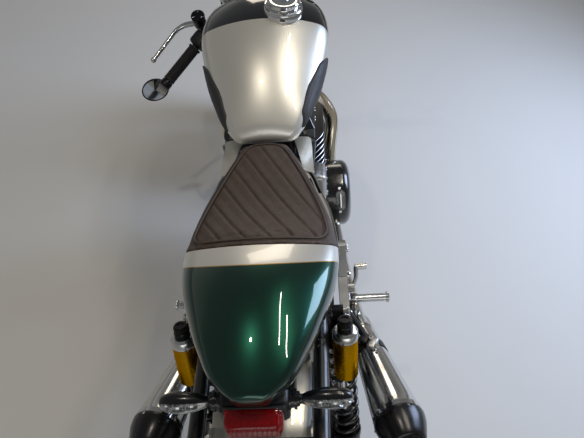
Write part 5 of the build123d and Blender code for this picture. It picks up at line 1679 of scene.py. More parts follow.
@dataclass
class Engine:
    """Crankcase, finned barrels and head, side covers, throttle covers and radiator."""

    case_half: float = 125
    pocket_x: float = -78
    case_outline: tuple = (
        (640, 250), (895, 250), (945, 300), (945, 420), (895, 470), (640, 470), (590, 420), (590, 300))
    notched_outline: tuple = (
        (640, 250), (895, 250), (945, 300), (945, 420), (895, 470), (640, 470), (626, 456), (706, 456),
        (706, 308), (598, 308), (590, 300))
    clutch: tuple = (790, 402)
    cover_radius: float = 98
    fin_half: float = 136
    fin_rear: float = 709
    fin_front: float = 911
    fin_start: float = 504
    fin_pitch: float = 19
    fin_count: int = 9
    cylinder_y: float = 810
    intake_z: float = 566
    cooler_y: float = 1047
    cooler_z: float = 580

    def crankcase(self) -> Shell:
        """The split crankcase with its joint flange, ribs, sump bolts and breather."""
        shell = Shell().plate(self.case_outline, self.pocket_x, self.case_half, 7, corner=0.18)
        shell.plate(self.notched_outline, -self.case_half, self.pocket_x + 0.5, 2, corner=0.15)
        shell.box((0, self.cylinder_y, 479), (214, 144, 22), None, 4)
        for z in (333, 402):
            shell.box((0, 946, z), (236, 6, 7), None, 2)
        for x in range(-100, 101, 25):
            shell.box((x, 946, 360), (5, 7, 92), None, 2)
            shell.box((x, 790, 249), (5, 200, 5), None, 2)
            shell.bolt((x, 922, 452), (0, 0.7, 0.7), 4.5, 1)
        for y in range(655, 896, 40):
            shell.bolt((self.case_half, y, 262), ACROSS, 4.5, 1)
            shell.bolt((-self.case_half, y, 262), -ACROSS, 4.5, 1)
        shell.lathe(
            (self.case_half - 2, 655, 440), ACROSS, ((0, 17), (8, 17), (10, 15), (10, 11), (14, 10)), 0, 24)
        return shell

    def fins(self) -> Shell:
        """Barrels and head: thin fins with bright edges and cut rear corners under a faceted cover."""
        shell = Shell().box((0, self.cylinder_y, 590), (206, 140, 200), None, 8)
        low, high, half = self.fin_rear, self.fin_front, self.fin_half
        cut_x, cut_y = 44, 52
        outline = (
            (-half, low + cut_y), (cut_x - half, low), (-12, low), (0, low + 16), (12, low),
            (half - cut_x, low), (half, low + cut_y), (half, high - 20), (half - 20, high), (12, high),
            (0, high - 16), (-12, high), (20 - half, high), (-half, high - 20))
        loop = outline_loop(outline, 0.3)
        middle = Vector((0, (low + high) / 2))
        for index in range(self.fin_count):
            z = self.fin_start + index * self.fin_pitch
            rings = [
                [(*shrunk(p, middle, inset), z + rise) for p in loop]
                for inset, rise in ((4, 0.4), (0.6, 0.9), (0, 1.5), (0, 2.9), (0.6, 3.4), (4, 3.9))]
            shell.loft(rings[:2], 0, (True, False))
            shell.loft(rings[1:5], 1, (False, False))
            shell.loft(rings[4:], 0, (False, True))
        corners = (
            (-112, 736), (-70, 728), (70, 728), (112, 736), (112, 884), (70, 892), (-70, 892), (-112, 884))
        top = outline_loop(corners, 0.12)
        rings = []
        for draw_x, draw_y, z in (
            (0, 0, 668), (0, 0, 700), (0.02, 0.02, 703), (0.14, 0.30, 730), (0.18, 0.36, 736),
            (0.26, 0.44, 738)):
            rings.append(
                [(x * (1 - draw_x), self.cylinder_y + (y - self.cylinder_y) * (1 - draw_y), z)
                    for x, y in top])
        shell.loft(rings, 2)
        for side in (-1, 1):
            for y in (768, 852):
                shell.bolt((side * 84, y, 736), UP, 5.5, 3)
            shell.lathe(
                (side * 46, self.cylinder_y, 736), UP, ((0, 15), (6, 15), (7, 12), (20, 11), (24, 8)), 0, 24)
            for z in (684, 694):
                for ahead in (-20, 20):
                    shell.bolt((side * 112, self.cylinder_y + ahead, z), (side, 0, 0), 3.6, 3)
        return shell

    def dome(self, shell: Shell, side: int, y: float, z: float, radius: float, reach: float) -> None:
        """Adds one domed side cover with lugs and bolts round it.

        Args:
            shell: what it is added to.
            side: 1 on the right, -1 on the left.
            y: its middle.
            z: its middle.
            radius: its radius.
            reach: how far it stands out of the crankcase.
        """
        at, out = Vector((side * (self.case_half - 1), y, z)), Vector((side, 0, 0))
        shell.lathe(
            at, out, ((0, radius + 3), (7, radius + 3), (8, radius), (reach - 24, radius),
                (reach - 18, radius - 1.5), (reach - 11, radius - 6), (reach - 5, radius - 14),
                (reach - 1.5, radius - 24), (reach, radius - 31), (reach - 2, radius - 34), (reach - 2, 30),
                (reach - 0.5, 27), (reach - 0.5, 0.01)), 0, 96)
        for turn in turns(9, 0.3):
            spot = at + Vector((0, *polar(radius + 1, turn)))
            shell.lathe(spot, out, ((0, 8), (11, 8), (12, 7)), 0, 20)
            shell.bolt(spot + out * 12, out, 4.6, 1)

    def covers(self) -> Shell:
        """Clutch, generator and sprocket covers with the oil window."""
        shell, (y, z) = Shell(), self.clutch
        self.dome(shell, 1, y, z, self.cover_radius, 82)
        self.dome(shell, -1, y + 20, z - 8, self.cover_radius - 9, 58)
        out = unit((0, -0.84, 0.54))
        along = Vector((0, 0.54, 0.84))
        spot = Vector((175, y, z)) + out * (self.cover_radius - 1.2)
        place = Matrix.Translation(spot) @ Matrix((ACROSS, out.cross(ACROSS), out)).transposed().to_4x4()
        oval = outline_loop(((-13, -29), (13, -29), (13, 29), (-13, 29)), 0.42)
        inner = [(x * 0.74, v * 0.86) for x, v in oval]
        shell.pierced(oval, [inner], place, 6.5, 0)
        shell.tube([spot + along * end * 20 + out * 1.5 for end in (-1, 1)], 6.5, 2, 20)
        shell.pierced(inner, [], place, 5.6, 3)
        for end in (-1, 1):
            shell.bolt(spot + along * 35 * end - Vector((3, 0, 0)), out, 4.2, 1)
        shell.lathe(
            (-self.case_half, 648, 392), -ACROSS, ((0, 68), (15, 68), (21, 63), (24, 56), (22, 52),
                (22, 0.01)), 0, 64)
        for turn in turns(5, 0.5):
            shell.bolt((-self.case_half - 17, *polar(62, turn, (648, 392))), -ACROSS, 4.4, 1)
        return shell

    def intakes(self) -> Shell:
        """Polished throttle covers with their bolts and rubber stubs."""
        shell = Shell().box((113, 675.5, self.intake_z), (42, 67, 92), None, 12, 0, 5)
        shell.box((134, 676, self.intake_z), (3, 44, 66), None, 1.4, 0)
        for rise in (30, -30):
            for y in (656, 696):
                shell.bolt((134.5, y, self.intake_z + rise), ACROSS, 3.6, 1)
        shell.lathe((100, 705, self.intake_z), AHEAD, ((0, 24), (26, 24), (28, 22), (34, 22)), 2, 32)
        return shell.mirrored()

    def cooler(self) -> Shell:
        """The radiator: end tanks, matrix of thin fins and lugs behind it."""
        y, middle = self.cooler_y, self.cooler_z
        shell = Shell().box((0, y, middle), (112, 24, 188), None, 3)
        for side in (-1, 1):
            shell.box((side * 58, y, middle), (13, 27, 218), None, 5)
            for z in (527, 647):
                shell.box((side * 56, y - 29, z), (15, 36, 13), None, 3)
        for z in (482, 678):
            shell.box((0, y, z), (128, 27, 22), None, 6)
        for k in range(44):
            shell.box((0, y + 14, 497 + 3.8 * k), (100, 5, 1.1), None, 0, 1, 1)
        for k in range(9):
            shell.box((-48 + 12 * k, y + 13, middle), (2.2, 4, 168), None, 0, 1, 1)
        return shell

    def build(self, machine: Machine) -> None:
        """Builds the engine's pieces."""
        self.crankcase().build(
            "crankcase_castings", machine, "black_engine_enamel", ENGINE_ENAMEL, STAINLESS,
            stands_for=["crankcase"])
        self.fins().build(
            "cylinder_fins", machine, "black_engine_enamel", ENGINE_ENAMEL, TURNED_ALUMINIUM, GLOSS_ENAMEL,
            STAINLESS, stands_for=["finned_cylinders"], smooth=30)
        self.covers().build(
            "engine_side_covers", machine, "black_engine_enamel", GLOSS_ENAMEL, STAINLESS, CHROME, CLEAR_LENS,
            stands_for=["engine_covers"])
        self.intakes().build(
            "throttle_body_covers", machine, "cast_aluminium", CAST_ALUMINIUM, STAINLESS, GRIP_RUBBER,
            stands_for=["throttle_covers"])
        self.cooler().build(
            "radiator_core", machine, "black_frame_enamel", BLACK_PLASTIC, BLACK_ANODISED,
            stands_for=["radiator"])


@dataclass
class SidePanels:
    """The covers beside the seat's nose: bright outer edge, two slits, deep flank and a flat nose."""

    top_z: float = 757
    wall: float = 5
    plan: tuple = ((67, 572), (80, 548), (107, 510), (121, 457), (138, 404), (148, 330), (150, 296))
    lower_y: tuple = (296, 396, 430, 466, 500, 548, 572)
    lower_z: tuple = (738, 698, 642, 598, 600, 645, 690)
    nose: tuple = ((60, 640), (102, 634), (107, 512), (84, 520))
    # inset of each slit's middle from the outer edge, and where it ends along the machine
    slits: tuple = ((5.8, 452, 524), (14.0, 414, 506))

    def skin(self) -> Shell:
        """One panel's skin, its slits sunk into the top and their faces black as painted shade."""
        path = filleted([(x, y, 0) for x, y in self.plan], 0.4, 4.0)
        line: list[Vector] = []
        for before, after in zip(path, path[1:]):
            count = max(1, round((after - before).length / 3))
            line += [before.lerp(after, k / count) for k in range(count)]
        line.append(path[-1])
        rings, depths = [], []
        for i, point in enumerate(line):
            along = (line[min(i + 1, len(line) - 1)] - line[max(i - 1, 0)]).normalized()
            inward = Vector((along.y, -along.x, 0))
            if inward.x > 0:
                inward = -inward
            low = float(np.interp(point.y, self.lower_y, self.lower_z))
            sunk = [
                4.5 * min(1.0, max(0.0, min(point.y - start, end - point.y) / 5))
                for _, start, end in self.slits]
            depths.append(sunk)
            (first, _, _), (second, _, _) = self.slits
            top = self.top_z
            profile = (
                (26, top - self.wall), (26.8, top - 1), (26, top), (second + 3, top),
                (second + 2, top - sunk[1]), (second - 2, top - sunk[1]), (second - 3, top), (first + 3, top),
                (first + 2, top - sunk[0]), (first - 1.6, top - sunk[0]), (first - 2.4, top + 0.6),
                (1.6, top + 1.6), (0.4, top + 0.8), (0, top - 0.6), (0, (top + low) / 2), (0, low + 2),
                (1, low), (self.wall - 1, low), (self.wall, low + 2), (self.wall, top - self.wall))
            rings.append([point + inward * inset + Vector((0, 0, z)) for inset, z in profile])
        shell = Shell().loft(rings)
        count = len(rings[0])
        for r in range(len(rings) - 1):
            # the sunk slits' faces in soot black, as painted shade
            for column, slit in ((3, 1), (4, 1), (5, 1), (7, 0), (8, 0), (9, 0)):
                if depths[r][slit] > 0.4:
                    shell.tones[r * count + column] = 1
            for column in (10, 11, 12):
                shell.tones[r * count + column] = 2
        place = Matrix.Translation((0, 0, self.top_z - 2))
        shell.pierced(outline_loop(self.nose, 0.25), [], place, 5, 0)
        return shell.mirrored()

    def build(self, machine: Machine) -> None:
        """Builds the pair."""
        self.skin().build(
            "side_panel_skins", machine, "silver_tank_paint", SILVER_PAINT, SOOT_AND_SHADE, CHROME,
            stands_for=["side_panels"], smooth=40)


@dataclass
class RiderControls:
    """Rear-set plates, ribbed footpegs and foot levers."""

    plate_face: float = 176
    peg_root: tuple = (186, 421, 381)
    peg_tip: tuple = (284, 430, 368)

    def pegs(self) -> Shell:
        """Clevis, ribbed alloy peg and end stop."""
        root, tip = Vector(self.peg_root), Vector(self.peg_tip)
        length = (tip - root).length
        rows = [(10, 8), (14, 8)]
        for k in range(14):
            start = 14 + k * 5.2
            rows += [(start, 9.4), (start + 0.8, 11), (start + 3.4, 11), (start + 4.2, 9.4)]
        rows += [(length - 8, 9.4), (length - 6, 14), (length - 2, 15), (length, 13)]
        shell = Shell().lathe(root, tip - root, rows, 1, 32)
        for offset in (-11, 11):
            shell.box(root + Vector((2, offset, 0)), (24, 6, 26), None, 2.5)
        shell.box(root + Vector((-7, 0, 0)), (7, 27, 27), None, 2.5)
        shell.lathe(
            root + Vector((6, -16, 0)), AHEAD, ((0, 5.5), (3, 5.5), (3, 4), (29, 4), (29, 5.5), (32, 5.5)), 2,
            16)
        return shell.mirrored()

    def bolts(self) -> Shell:
        """The plates' bolts and lightening rings."""
        shell = Shell()
        for y, z, size in (
            (508, 480, 7), (530, 466, 7), (454, 378, 9), (421, 398, 5), (352, 424, 7), (470, 420, 11)):
            shell.bolt((self.plate_face, y, z), ACROSS, size)
        return shell.mirrored()

    def build(self, machine: Machine) -> None:
        """Builds the pegs and dresses the plates and levers."""
        self.pegs().build(
            "footpeg_ribs", machine, "cast_aluminium", CAST_ALUMINIUM, TURNED_ALUMINIUM, STAINLESS,
            stands_for=["footpegs"])
        self.bolts().build("rearset_bolts", machine, "polished_steel", STAINLESS)
        machine.dress(CAST_ALUMINIUM, "rearset_plates", soften=3.0)
        machine.dress(TURNED_ALUMINIUM, "foot_levers", soften=0.8)


@dataclass
class Wheel:
    """One laced wheel with its tyre."""

    name: str
    body: Body
    axle: Vector
    radius: float
    width: float
    crown: float
    rim_width: float
    hub_radius: float
    hub_width: float
    flange_radius: float
    flange_offset: float
    bead: float = 215.9
    shoulder: float = 0.62
    lip: float = 12
    brim_width: float = 7
    depth: float = 16
    spoke_pairs: int = 16
    sweep: float = 48
    spoke_radius: float = 2.2
    tyre_steps: int = 440
    groove_pitch: float = 46
    groove_depth: float = 3.4
    groove_width: float = 3.4
    # where the slanted grooves begin and end, as shares of the half width
    groove_run: tuple[float, float] = (0.3, 0.84)

    def tread_depth(self, turn: float, x: float) -> float:
        """How deep the tread is cut at an angle round the tyre and a distance from its middle."""
        share = abs(x) / (self.width / 2)
        start, end = self.groove_run
        count = round(2 * math.pi * self.radius / self.groove_pitch)
        along = turn * count / (2 * math.pi) + (0.5 if x > 0 else 0.0) + 0.9 * share
        off = abs(along - round(along)) * self.groove_pitch
        if not start < share < end or off >= self.groove_width:
            return 0.0
        wall = min(1.0, (self.groove_width - off) / 1.4)
        return self.groove_depth * wall * min(1.0, (share - start) / 0.06, (end - share) / 0.06)

    def tyre(self) -> Shell:
        """The tyre: sidewall rings, a middle groove and slanted grooves."""
        half, side = self.width / 2, self.radius - self.crown
        brim, lip = self.rim_width / 2 + self.brim_width, self.bead + self.lip + 0.5
        drop = side - lip
        middle = (half**2 - brim**2 - drop**2) / (2 * (half - brim))
        small = self.shoulder * self.crown
        large = (half**2 + self.crown**2 - 2 * half * small) / (2 * (self.crown - small))
        turn = math.atan2(large - self.crown, half - small)
        lowest = math.atan2(-drop, brim - middle)
        right = [(self.rim_width / 2, self.bead), (self.rim_width / 2, lip)]
        for k, t in enumerate(np.linspace(lowest, 0, 13)):
            out = (half - middle) + (0.9 if k in (4, 9) else 0.0)
            right.append((middle + out * math.cos(t), side + (half - middle) * math.sin(t)))
        right += [
            (half - small + small * math.cos(t), side + small * math.sin(t))
            for t in np.linspace(0, turn, 13)[1:]]
        crown = [
            (large * math.cos(t), side + self.crown - large + large * math.sin(t))
            for t in np.linspace(turn, math.pi / 2, 17)[1:-1]]
        right += [p for p in crown if p[0] > 4.4]
        right += [(4.2, self.radius - 0.2), (3.0, self.radius - 3.6), (0, self.radius - 3.8)]
        profile = right + [(-x, r) for x, r in reversed(right[:-1])]
        rings = []
        for a in turns(self.tyre_steps):
            out = Vector((0, *polar(1, a)))
            rings.append(
                [self.axle + Vector((x, 0, 0)) + out * (r - (self.tread_depth(a, x) if r > side else 0))
                    for x, r in profile])
        return Shell().loft(rings, joined=True)

    def laced(self) -> Shell:
        """Rim, crossed spokes with nipples, and hub."""
        seat, brim = self.rim_width / 2, self.rim_width / 2 + self.brim_width
        lip, well = self.bead + self.lip, self.bead - self.depth
        corners = (
            (-seat, self.bead), (seat, self.bead), (seat, lip), (brim, lip), (brim, self.bead - 7),
            (seat * 0.5, well), (-seat * 0.5, well), (-brim, self.bead - 7), (-brim, lip), (-seat, lip))
        profile = outline_loop(corners, 0.22)
        shell = Shell().lathe(self.axle, ACROSS, profile, 0, 120, closed_loop=True)
        half, flange, r = self.hub_width / 2, self.flange_offset, self.hub_radius
        rows = [(-half, 12.6), (-half, r - 2), (-half + 2, r)]
        for offset in (-flange, flange):
            rows += [
                (offset - 4, r), (offset - 3, self.flange_radius - 1), (offset - 2, self.flange_radius),
                (offset + 2, self.flange_radius), (offset + 3, self.flange_radius - 1), (offset + 4, r)]
        rows += [(half - 2, r), (half, r - 2), (half, 12.6)]
        shell.lathe(self.axle, ACROSS, rows, 1, 64, closed_loop=True)
        for side in (-1, 1):
            for index in range(self.spoke_pairs):
                root = math.radians(360 / self.spoke_pairs * (index + (side > 0) / 2))
                lead = 1 if index % 2 else -1
                reach = root + lead * math.radians(self.sweep)
                near, far = self.flange_radius - 4, well + self.depth / 3
                start = self.axle + Vector((side * flange + lead * 3, *polar(near, root)))
                end = self.axle + Vector((side * 10, *polar(far, reach)))
                along = (end - start).normalized()
                shell.tube([start, end], self.spoke_radius, 2, 8)
                shell.lathe(end - along * 16, along, ((0, 2.4), (1, 3.4), (14, 3.8), (16, 4.4)), 2, 8)
                shell.lathe(
                    start - Vector((lead * 3.5, 0, 0)), (lead, 0, 0), ((0, 3.6), (2, 3.2), (7, 2.2)), 2, 8)
        return shell

    def build(self, machine: Machine) -> None:
        """Builds the tyre and the wheel."""
        self.tyre().build(
            f"{self.name}_road_tyre", machine, "tyre_rubber", TYRE_RUBBER, body=self.body,
            stands_for=[f"{self.name}_tyre"], smooth=48)
        self.laced().build(
            f"{self.name}_spoked_wheel", machine, "polished_rim", RIM_ALLOY, BLACK_ANODISED, STAINLESS,
            body=self.body, stands_for=[f"{self.name}_wire_wheel"], smooth=40)


@dataclass
class Brakes:
    """Drilled discs on their carriers, and calipers."""

    thickness: float = 5
    band: float = 32

    def disc(self, axle: Vector, offset: float, radius: float, hub: float, centre: float) -> Shell:
        """One drilled disc with its carrier and buttons.

        Args:
            axle: the wheel's middle.
            offset: where the disc is across the machine.
            radius: its radius.
            hub: where its carrier's windows start.
            centre: the radius of the carrier's own hole.

        Returns:
            The disc.
        """
        place = Matrix.Translation(axle + Vector((offset - self.thickness / 2, 0, 0))) @ SIDEWAYS
        inner, shell = radius - self.band, Shell()
        holes = [circle(inner, 72)]
        for row in range(3):
            far = inner + 7 + row * (self.band - 14) / 2
            holes += [circle(2.7, 8, polar(far, turn)) for turn in turns(round(radius / 4.4), row / 3)]
        shell.pierced(circle(radius, 144), holes, place, self.thickness, 0)
        window = inner - hub
        openings = [circle(window * 0.28, 20, polar(hub + window * 0.52, turn)) for turn in turns(8)]
        shell.pierced(circle(inner + 3.5, 96), [circle(centre, 40), *openings], place, self.thickness + 1, 1)
        for turn in turns(8):
            button = place @ Vector((*polar(inner + 1, turn + 0.39), -1.5))
            shell.lathe(button, ACROSS, ((0, 6), (9, 6)), 2, 16)
            shell.bolt(place @ Vector((*polar(hub - 8, turn), self.thickness + 1)), ACROSS, 4.5, 2)
        return shell

    def build(self, machine: Machine) -> None:
        """Builds the discs and dresses the calipers."""
        finishes = (BRAKE_STEEL, BLACK_ANODISED, STAINLESS)
        self.disc(FRONT_AXLE, offset=68, radius=155, hub=52, centre=30).mirrored().build(
            "front_drilled_discs", machine, "brake_steel", *finishes, body=Body.FRONT_WHEEL,
            stands_for=["front_discs"])
        rear = self.disc(REAR_AXLE, offset=92, radius=110, hub=38, centre=26)
        rear.lathe(
            REAR_AXLE + Vector((75, 0, 0)), ACROSS, ((0, 40), (14.5, 40), (14.5, 26), (0, 26)), 1, 48,
            closed_loop=True)
        rear.build(
            "rear_drilled_disc", machine, "brake_steel", *finishes, body=Body.REAR_WHEEL,
            stands_for=["rear_disc"])
        machine.dress(BLACK_ANODISED, "front_calipers", "rear_caliper", soften=4.0)
        buttons = Shell()
        for rise in (84, 126):
            for tone, size, lift in ((0, 13, 0), (1, 8, 1.5)):
                buttons.lathe(
                    steering_point((92 + lift, FORK_OFFSET - 95, AXLE_HEIGHT + rise)), ACROSS,
                    ((-2, size), (1.2, size), (2, size - 1.5)), tone, 28)
        for rise in (68, 142):
            buttons.bolt(steering_point((91, FORK_OFFSET - 82, AXLE_HEIGHT + rise)), ACROSS, 4, 1)
        buttons.mirrored().build(
            "front_caliper_buttons", machine, "black_anodised", GOLD, STAINLESS, body=Body.STEERING)


@dataclass
class Drive:
    """Sprocket, roller chain and guard."""

    across: float = -96
    rear_radius: float = 114
    front_radius: float = 51
    front: tuple = (636, 392)
    link: float = 15.875
    teeth: int = 42

    def stations(self) -> list[Vector]:
        """Evenly spaced places of the chain's pins."""
        gap = Vector((self.front[0], self.front[1] - REAR_AXLE.z))
        slope = math.atan2(gap.y, gap.x)
        tilt = math.asin((self.rear_radius - self.front_radius) / gap.length)
        straight = gap.length * math.cos(tilt)
        over, under = math.pi + 2 * tilt, math.pi - 2 * tilt
        parts = (self.rear_radius * over, straight, self.front_radius * under, straight)
        total = sum(parts)
        count = 2 * round(total / self.link / 2)
        upper, lower = slope + math.pi / 2 - tilt, slope - math.pi / 2 + tilt
        rear, result = (0, REAR_AXLE.z), []
        for k in range(count):
            at = total * k / count
            if at < parts[0]:
                spot = polar(self.rear_radius, lower - at / self.rear_radius, rear)
            elif at < parts[0] + parts[1]:
                spot = polar(at - parts[0], upper - math.pi / 2, polar(self.rear_radius, upper, rear))
            elif at < parts[0] + parts[1] + parts[2]:
                turn = upper - (at - parts[0] - parts[1]) / self.front_radius
                spot = polar(self.front_radius, turn, self.front)
            else:
                start = polar(self.front_radius, lower, self.front)
                spot = polar(at - total + parts[3], lower - math.pi / 2, start)
            result.append(Vector((self.across, *spot)))
        return result

    def chain(self) -> Shell:
        """Side plates, rollers and pins."""
        shell, pins = Shell(), self.stations()
        ends = [math.radians(a) for a in range(-90, 91, 30)]
        reach = self.link / 2
        for k, (spot, after) in enumerate(zip(pins, pins[1:] + pins[:1])):
            ahead = (after - spot).normalized()
            middle = (spot + after) / 2
            # inner and outer links take turns
            height, offset = (6.6, 5.4) if k % 2 == 0 else (6.2, 7.9)
            outline = [polar(way * height, a, (way * reach, 0)) for way in (1, -1) for a in ends]
            axes = Matrix((ahead, ACROSS.cross(ahead), ACROSS)).transposed().to_4x4()
            for side in (-1, 1):
                low = middle + Vector((side * offset - 1, 0, 0))
                shell.pierced(outline, [], Matrix.Translation(low) @ axes, 2.0, 0)
            shell.lathe(
                spot - Vector((9.8, 0, 0)), ACROSS, ((0, 2.6), (4.4, 2.6), (4.5, 5), (15.1, 5), (15.2, 2.6),
                    (19.6, 2.6)), 1, 10)
        return shell

    def sprocket(self) -> Shell:
        """The rear sprocket with its teeth, windows and nuts."""
        place = Matrix.Translation(REAR_AXLE + Vector((self.across - 3.5, 0, 0))) @ SIDEWAYS
        outline = []
        for k in range(self.teeth):
            for step, far in ((0.0, 103), (0.16, 102.4), (0.34, 97), (0.5, 95.6), (0.66, 97), (0.84, 102.4)):
                outline.append(polar(far, 2 * math.pi * (k + step) / self.teeth))
        holes = [circle(15, 24, polar(76, turn)) for turn in turns(6)]
        shell = Shell().pierced(outline, [circle(26, 40), *holes], place, 7, 0)
        shell.lathe(
            REAR_AXLE + Vector((self.across + 3.5, 0, 0)), ACROSS,
            ((0, 52), (14, 52), (17.5, 48), (17.5, 26), (0, 26)), 1, 56, closed_loop=True)
        for turn in turns(6):
            shell.bolt(place @ Vector((*polar(44, turn + 0.5), 0)), -ACROSS, 6, 2)
        return shell

    def build(self, machine: Machine) -> None:
        """Builds the chain and sprocket and dresses the guard."""
        self.chain().build(
            "roller_chain", machine, "chain_steel", CHAIN_STEEL, STAINLESS, stands_for=["drive_chain"],
            smooth=30)
        self.sprocket().build(
            "rear_toothed_sprocket", machine, "chain_steel", CHAIN_STEEL, BLACK_ANODISED, STAINLESS,
            body=Body.REAR_WHEEL, stands_for=["rear_sprocket"])
        machine.dress(BLACK_PLASTIC, "chain_guard", soften=1.5)


@dataclass
class FrontEnd:
    """What turns with the steering, drawn straight ahead on the steering's own axes."""

    spread: float = 100
    tube_radius: float = 27
    grip_end: Vector = Vector((372, FORK_OFFSET - 105, 897))
    bar_inner: Vector = Vector((162, FORK_OFFSET - 26, 935))
    grip_length: float = 120
    clock_spread: float = 52
    clock_radius: float = 43
    clock_ahead: float = 68
    clock_height: float = 1018
    lamp_ahead: float = 138
    lamp_height: float = 870

    def along(self) -> Vector:
        """The way the right bar points."""
        return (self.grip_end - self.bar_inner).normalized()

    def switch_place(self) -> tuple[Vector, Vector]:
        """The right switch's middle, and the way that is square to the bar and level."""
        along = self.along()
        return self.grip_end - along * (self.grip_length + 26), UP.cross(along).normalized()

    def forks(self) -> Shell:
        """Black outer tubes, bright sliders, cast feet and adjusters."""
        at, up = (self.spread, FORK_OFFSET, 0), UP
        shell = Shell().lathe(
            at, up, ((560, 22), (560, 27), (562, 27.6), (572, 27.6), (574, 27), (998, 27), (1000, 25),
                (1000, 20)), 0, 48)
        shell.lathe(at, up, ((AXLE_HEIGHT, 21.5), (561, 21.5)), 1, 40)
        shell.lathe(at, up, ((551, 22), (552, 25), (560, 26), (561, 22)), 3, 40)
        shell.lathe(at, up, ((999, 19), (1003, 19), (1004, 14), (1008, 14), (1009, 8), (1012, 7)), 4, 6)
        shell.box((self.spread, FORK_OFFSET - 3, AXLE_HEIGHT + 15), (40, 54, 90), None, 12, 2, 5)
        shell.box((self.spread - 4, FORK_OFFSET - 46, AXLE_HEIGHT + 67), (16, 52, 30), None, 4, 2)
        shell.lathe((self.spread, FORK_OFFSET, AXLE_HEIGHT + 58), up, ((0, 24), (14, 24), (18, 22)), 2, 40)
        for rise in (-18, 2):
            shell.bolt((self.spread + 8, FORK_OFFSET - 30, AXLE_HEIGHT + rise), -AHEAD, 4.5, 1)
        return shell.mirrored()

    def grips(self) -> Shell:
        """Ribbed rubber grips."""
        start = self.grip_end - self.along() * self.grip_length
        rows = [(0, 11.2), (0, 18), (3, 18.6), (6, 16)]
        for k in range(21):
            rows += [(8 + 5 * k, 15), (8.8 + 5 * k, 16), (11.4 + 5 * k, 16), (12.2 + 5 * k, 15)]
        rows += [(115, 16.4), (118, 16), (118, 11.2)]
        return Shell().lathe(start, self.along(), rows, 0, 36, closed_loop=True).mirrored()

    def controls(self) -> Shell:
        """Switch cubes, master cylinders and levers."""
        along, (seat, side) = self.along(), self.switch_place()
        axes = Matrix((along, side, along.cross(side))).transposed()
        perch = seat - along * 34
        shell = Shell().box(seat, (42, 42, 45), axes, 9, 0, 4)
        shell.box(seat + axes @ Vector((0, -14, -3)), (20, 16, 20), axes, 4, 0)
        shell.box(perch + axes @ Vector((0, 16, 0)), (22, 60, 28), axes, 8, 1, 4)
        cup = perch + axes @ Vector((-6, 34, 6))
        shell.lathe(
            cup, UP, ((0, 16), (4, 18.5), (26, 18.5), (27, 19.4), (31, 19.4), (33, 18), (33, 0.01)), 1, 36)
        for turn in turns(3):
            shell.bolt(cup + Vector((*polar(13, turn), 32.5)), UP, 2.4, 2)
        lever = filleted(
            [perch + Vector((4, 44, -4)), perch + Vector((60, 72, -12)), perch + Vector((172, 20, -26))])
        shell.tube(lever, [8.5 - 3 * min(1, i / len(lever)) for i in range(len(lever))], 3, 14)
        shell.lathe(lever[-1], lever[-1] - lever[-2], ((-6, 4), (-3, 7.5), (3, 8), (8, 4)), 3, 16)
        shell.lathe(perch + Vector((4, 44, 10)), -UP, ((-2, 6), (26, 6)), 2, 16)
        for x, z in ((-10, 12), (10, 12), (0, -2), (-9, -14)):
            shell.lathe(
                seat + axes @ Vector((x, -20, z)), -(axes @ AHEAD), ((-2, 4.6), (3, 4.6), (4, 3.6)), 0, 16)
        return shell.mirrored()

    def stop_button(self) -> Shell:
        """The red button on the right switch."""
        seat, side = self.switch_place()
        return Shell().lathe(seat - side * 19 + Vector((0, 0, 8)), -side, ((0, 7), (7, 7), (8.5, 5.5)), 0, 24)

    def mirrors(self) -> Shell:
        """Bar-end weights, arms, shells and glasses."""
        end, along = self.grip_end, self.along()
        tip = end + along * 10
        shell = Shell().lathe(end, along, ((0, 15), (2, 16), (17, 16), (20, 13), (20, 6)), 0, 36)
        face = tip + Vector((34, 52, -70))
        shell.tube(filleted([tip, tip + Vector((14, 34, -20)), face]), 5, 0, 16)
        look = unit((0.1, -1, 0.25))
        shell.lathe(
            face, look, ((-6.5, 0.01), (-6.5, 18), (-4, 31), (0, 38), (5, 40), (6.5, 40), (6.5, 37),
                (5.2, 37), (5.2, 0.01)), 0, 64)
        shell.lathe(face, look, ((5.0, 36.5), (5.6, 36.5), (5.6, 0.01)), 1, 64)
        return shell.mirrored()

    def clocks(self) -> Shell:
        """Two clock cans with bezels, printed faces, marks and needles."""
        shell, look = Shell(), unit((0, -0.42, 0.9))
        for side in (-1, 1):
            at = Vector((side * self.clock_spread, FORK_OFFSET + self.clock_ahead, self.clock_height))
            r = self.clock_radius
            shell.lathe(at, look, ((-26, 0.01), (-26, 30), (-20, 38), (-8, 41), (20, 41.5)), 0, 64)
            shell.lathe(at, look, ((18, 41), (19, r), (24, r), (26, r - 2), (26, r - 5), (21, r - 6)), 1, 64)
            shell.lathe(at, look, ((20, r - 5.5), (21, r - 6), (21, 0.01)), 2, 64)
            marks = [(15 * k - 45, 7 if k % 3 == 0 else 4) for k in range(19)]
            rows = [(degrees, 33 - long / 2, 21.4, (long, 1.3, 0.8), 0, 3) for degrees, long in marks]
            rows.append((-35, 12, 23, (32, 1.8, 1), 0.3, 4))
            for degrees, far, rise, size, edge, tone in rows:
                out = spoke(look, math.radians(degrees))
                axes = Matrix((out, look.cross(out), look)).transposed()
                shell.box(at + out * far + look * rise, size, axes, edge, tone, 1)
            shell.lathe(at + look * 21, look, ((0, 4.5), (3, 4.5), (4, 3)), 0, 24)
        shell.box((0, FORK_OFFSET + 34, 998), (140, 92, 8), None, 3, 0)
        shell.box((0, FORK_OFFSET + 60, 1006), (30, 40, 22), None, 6, 0)
        return shell

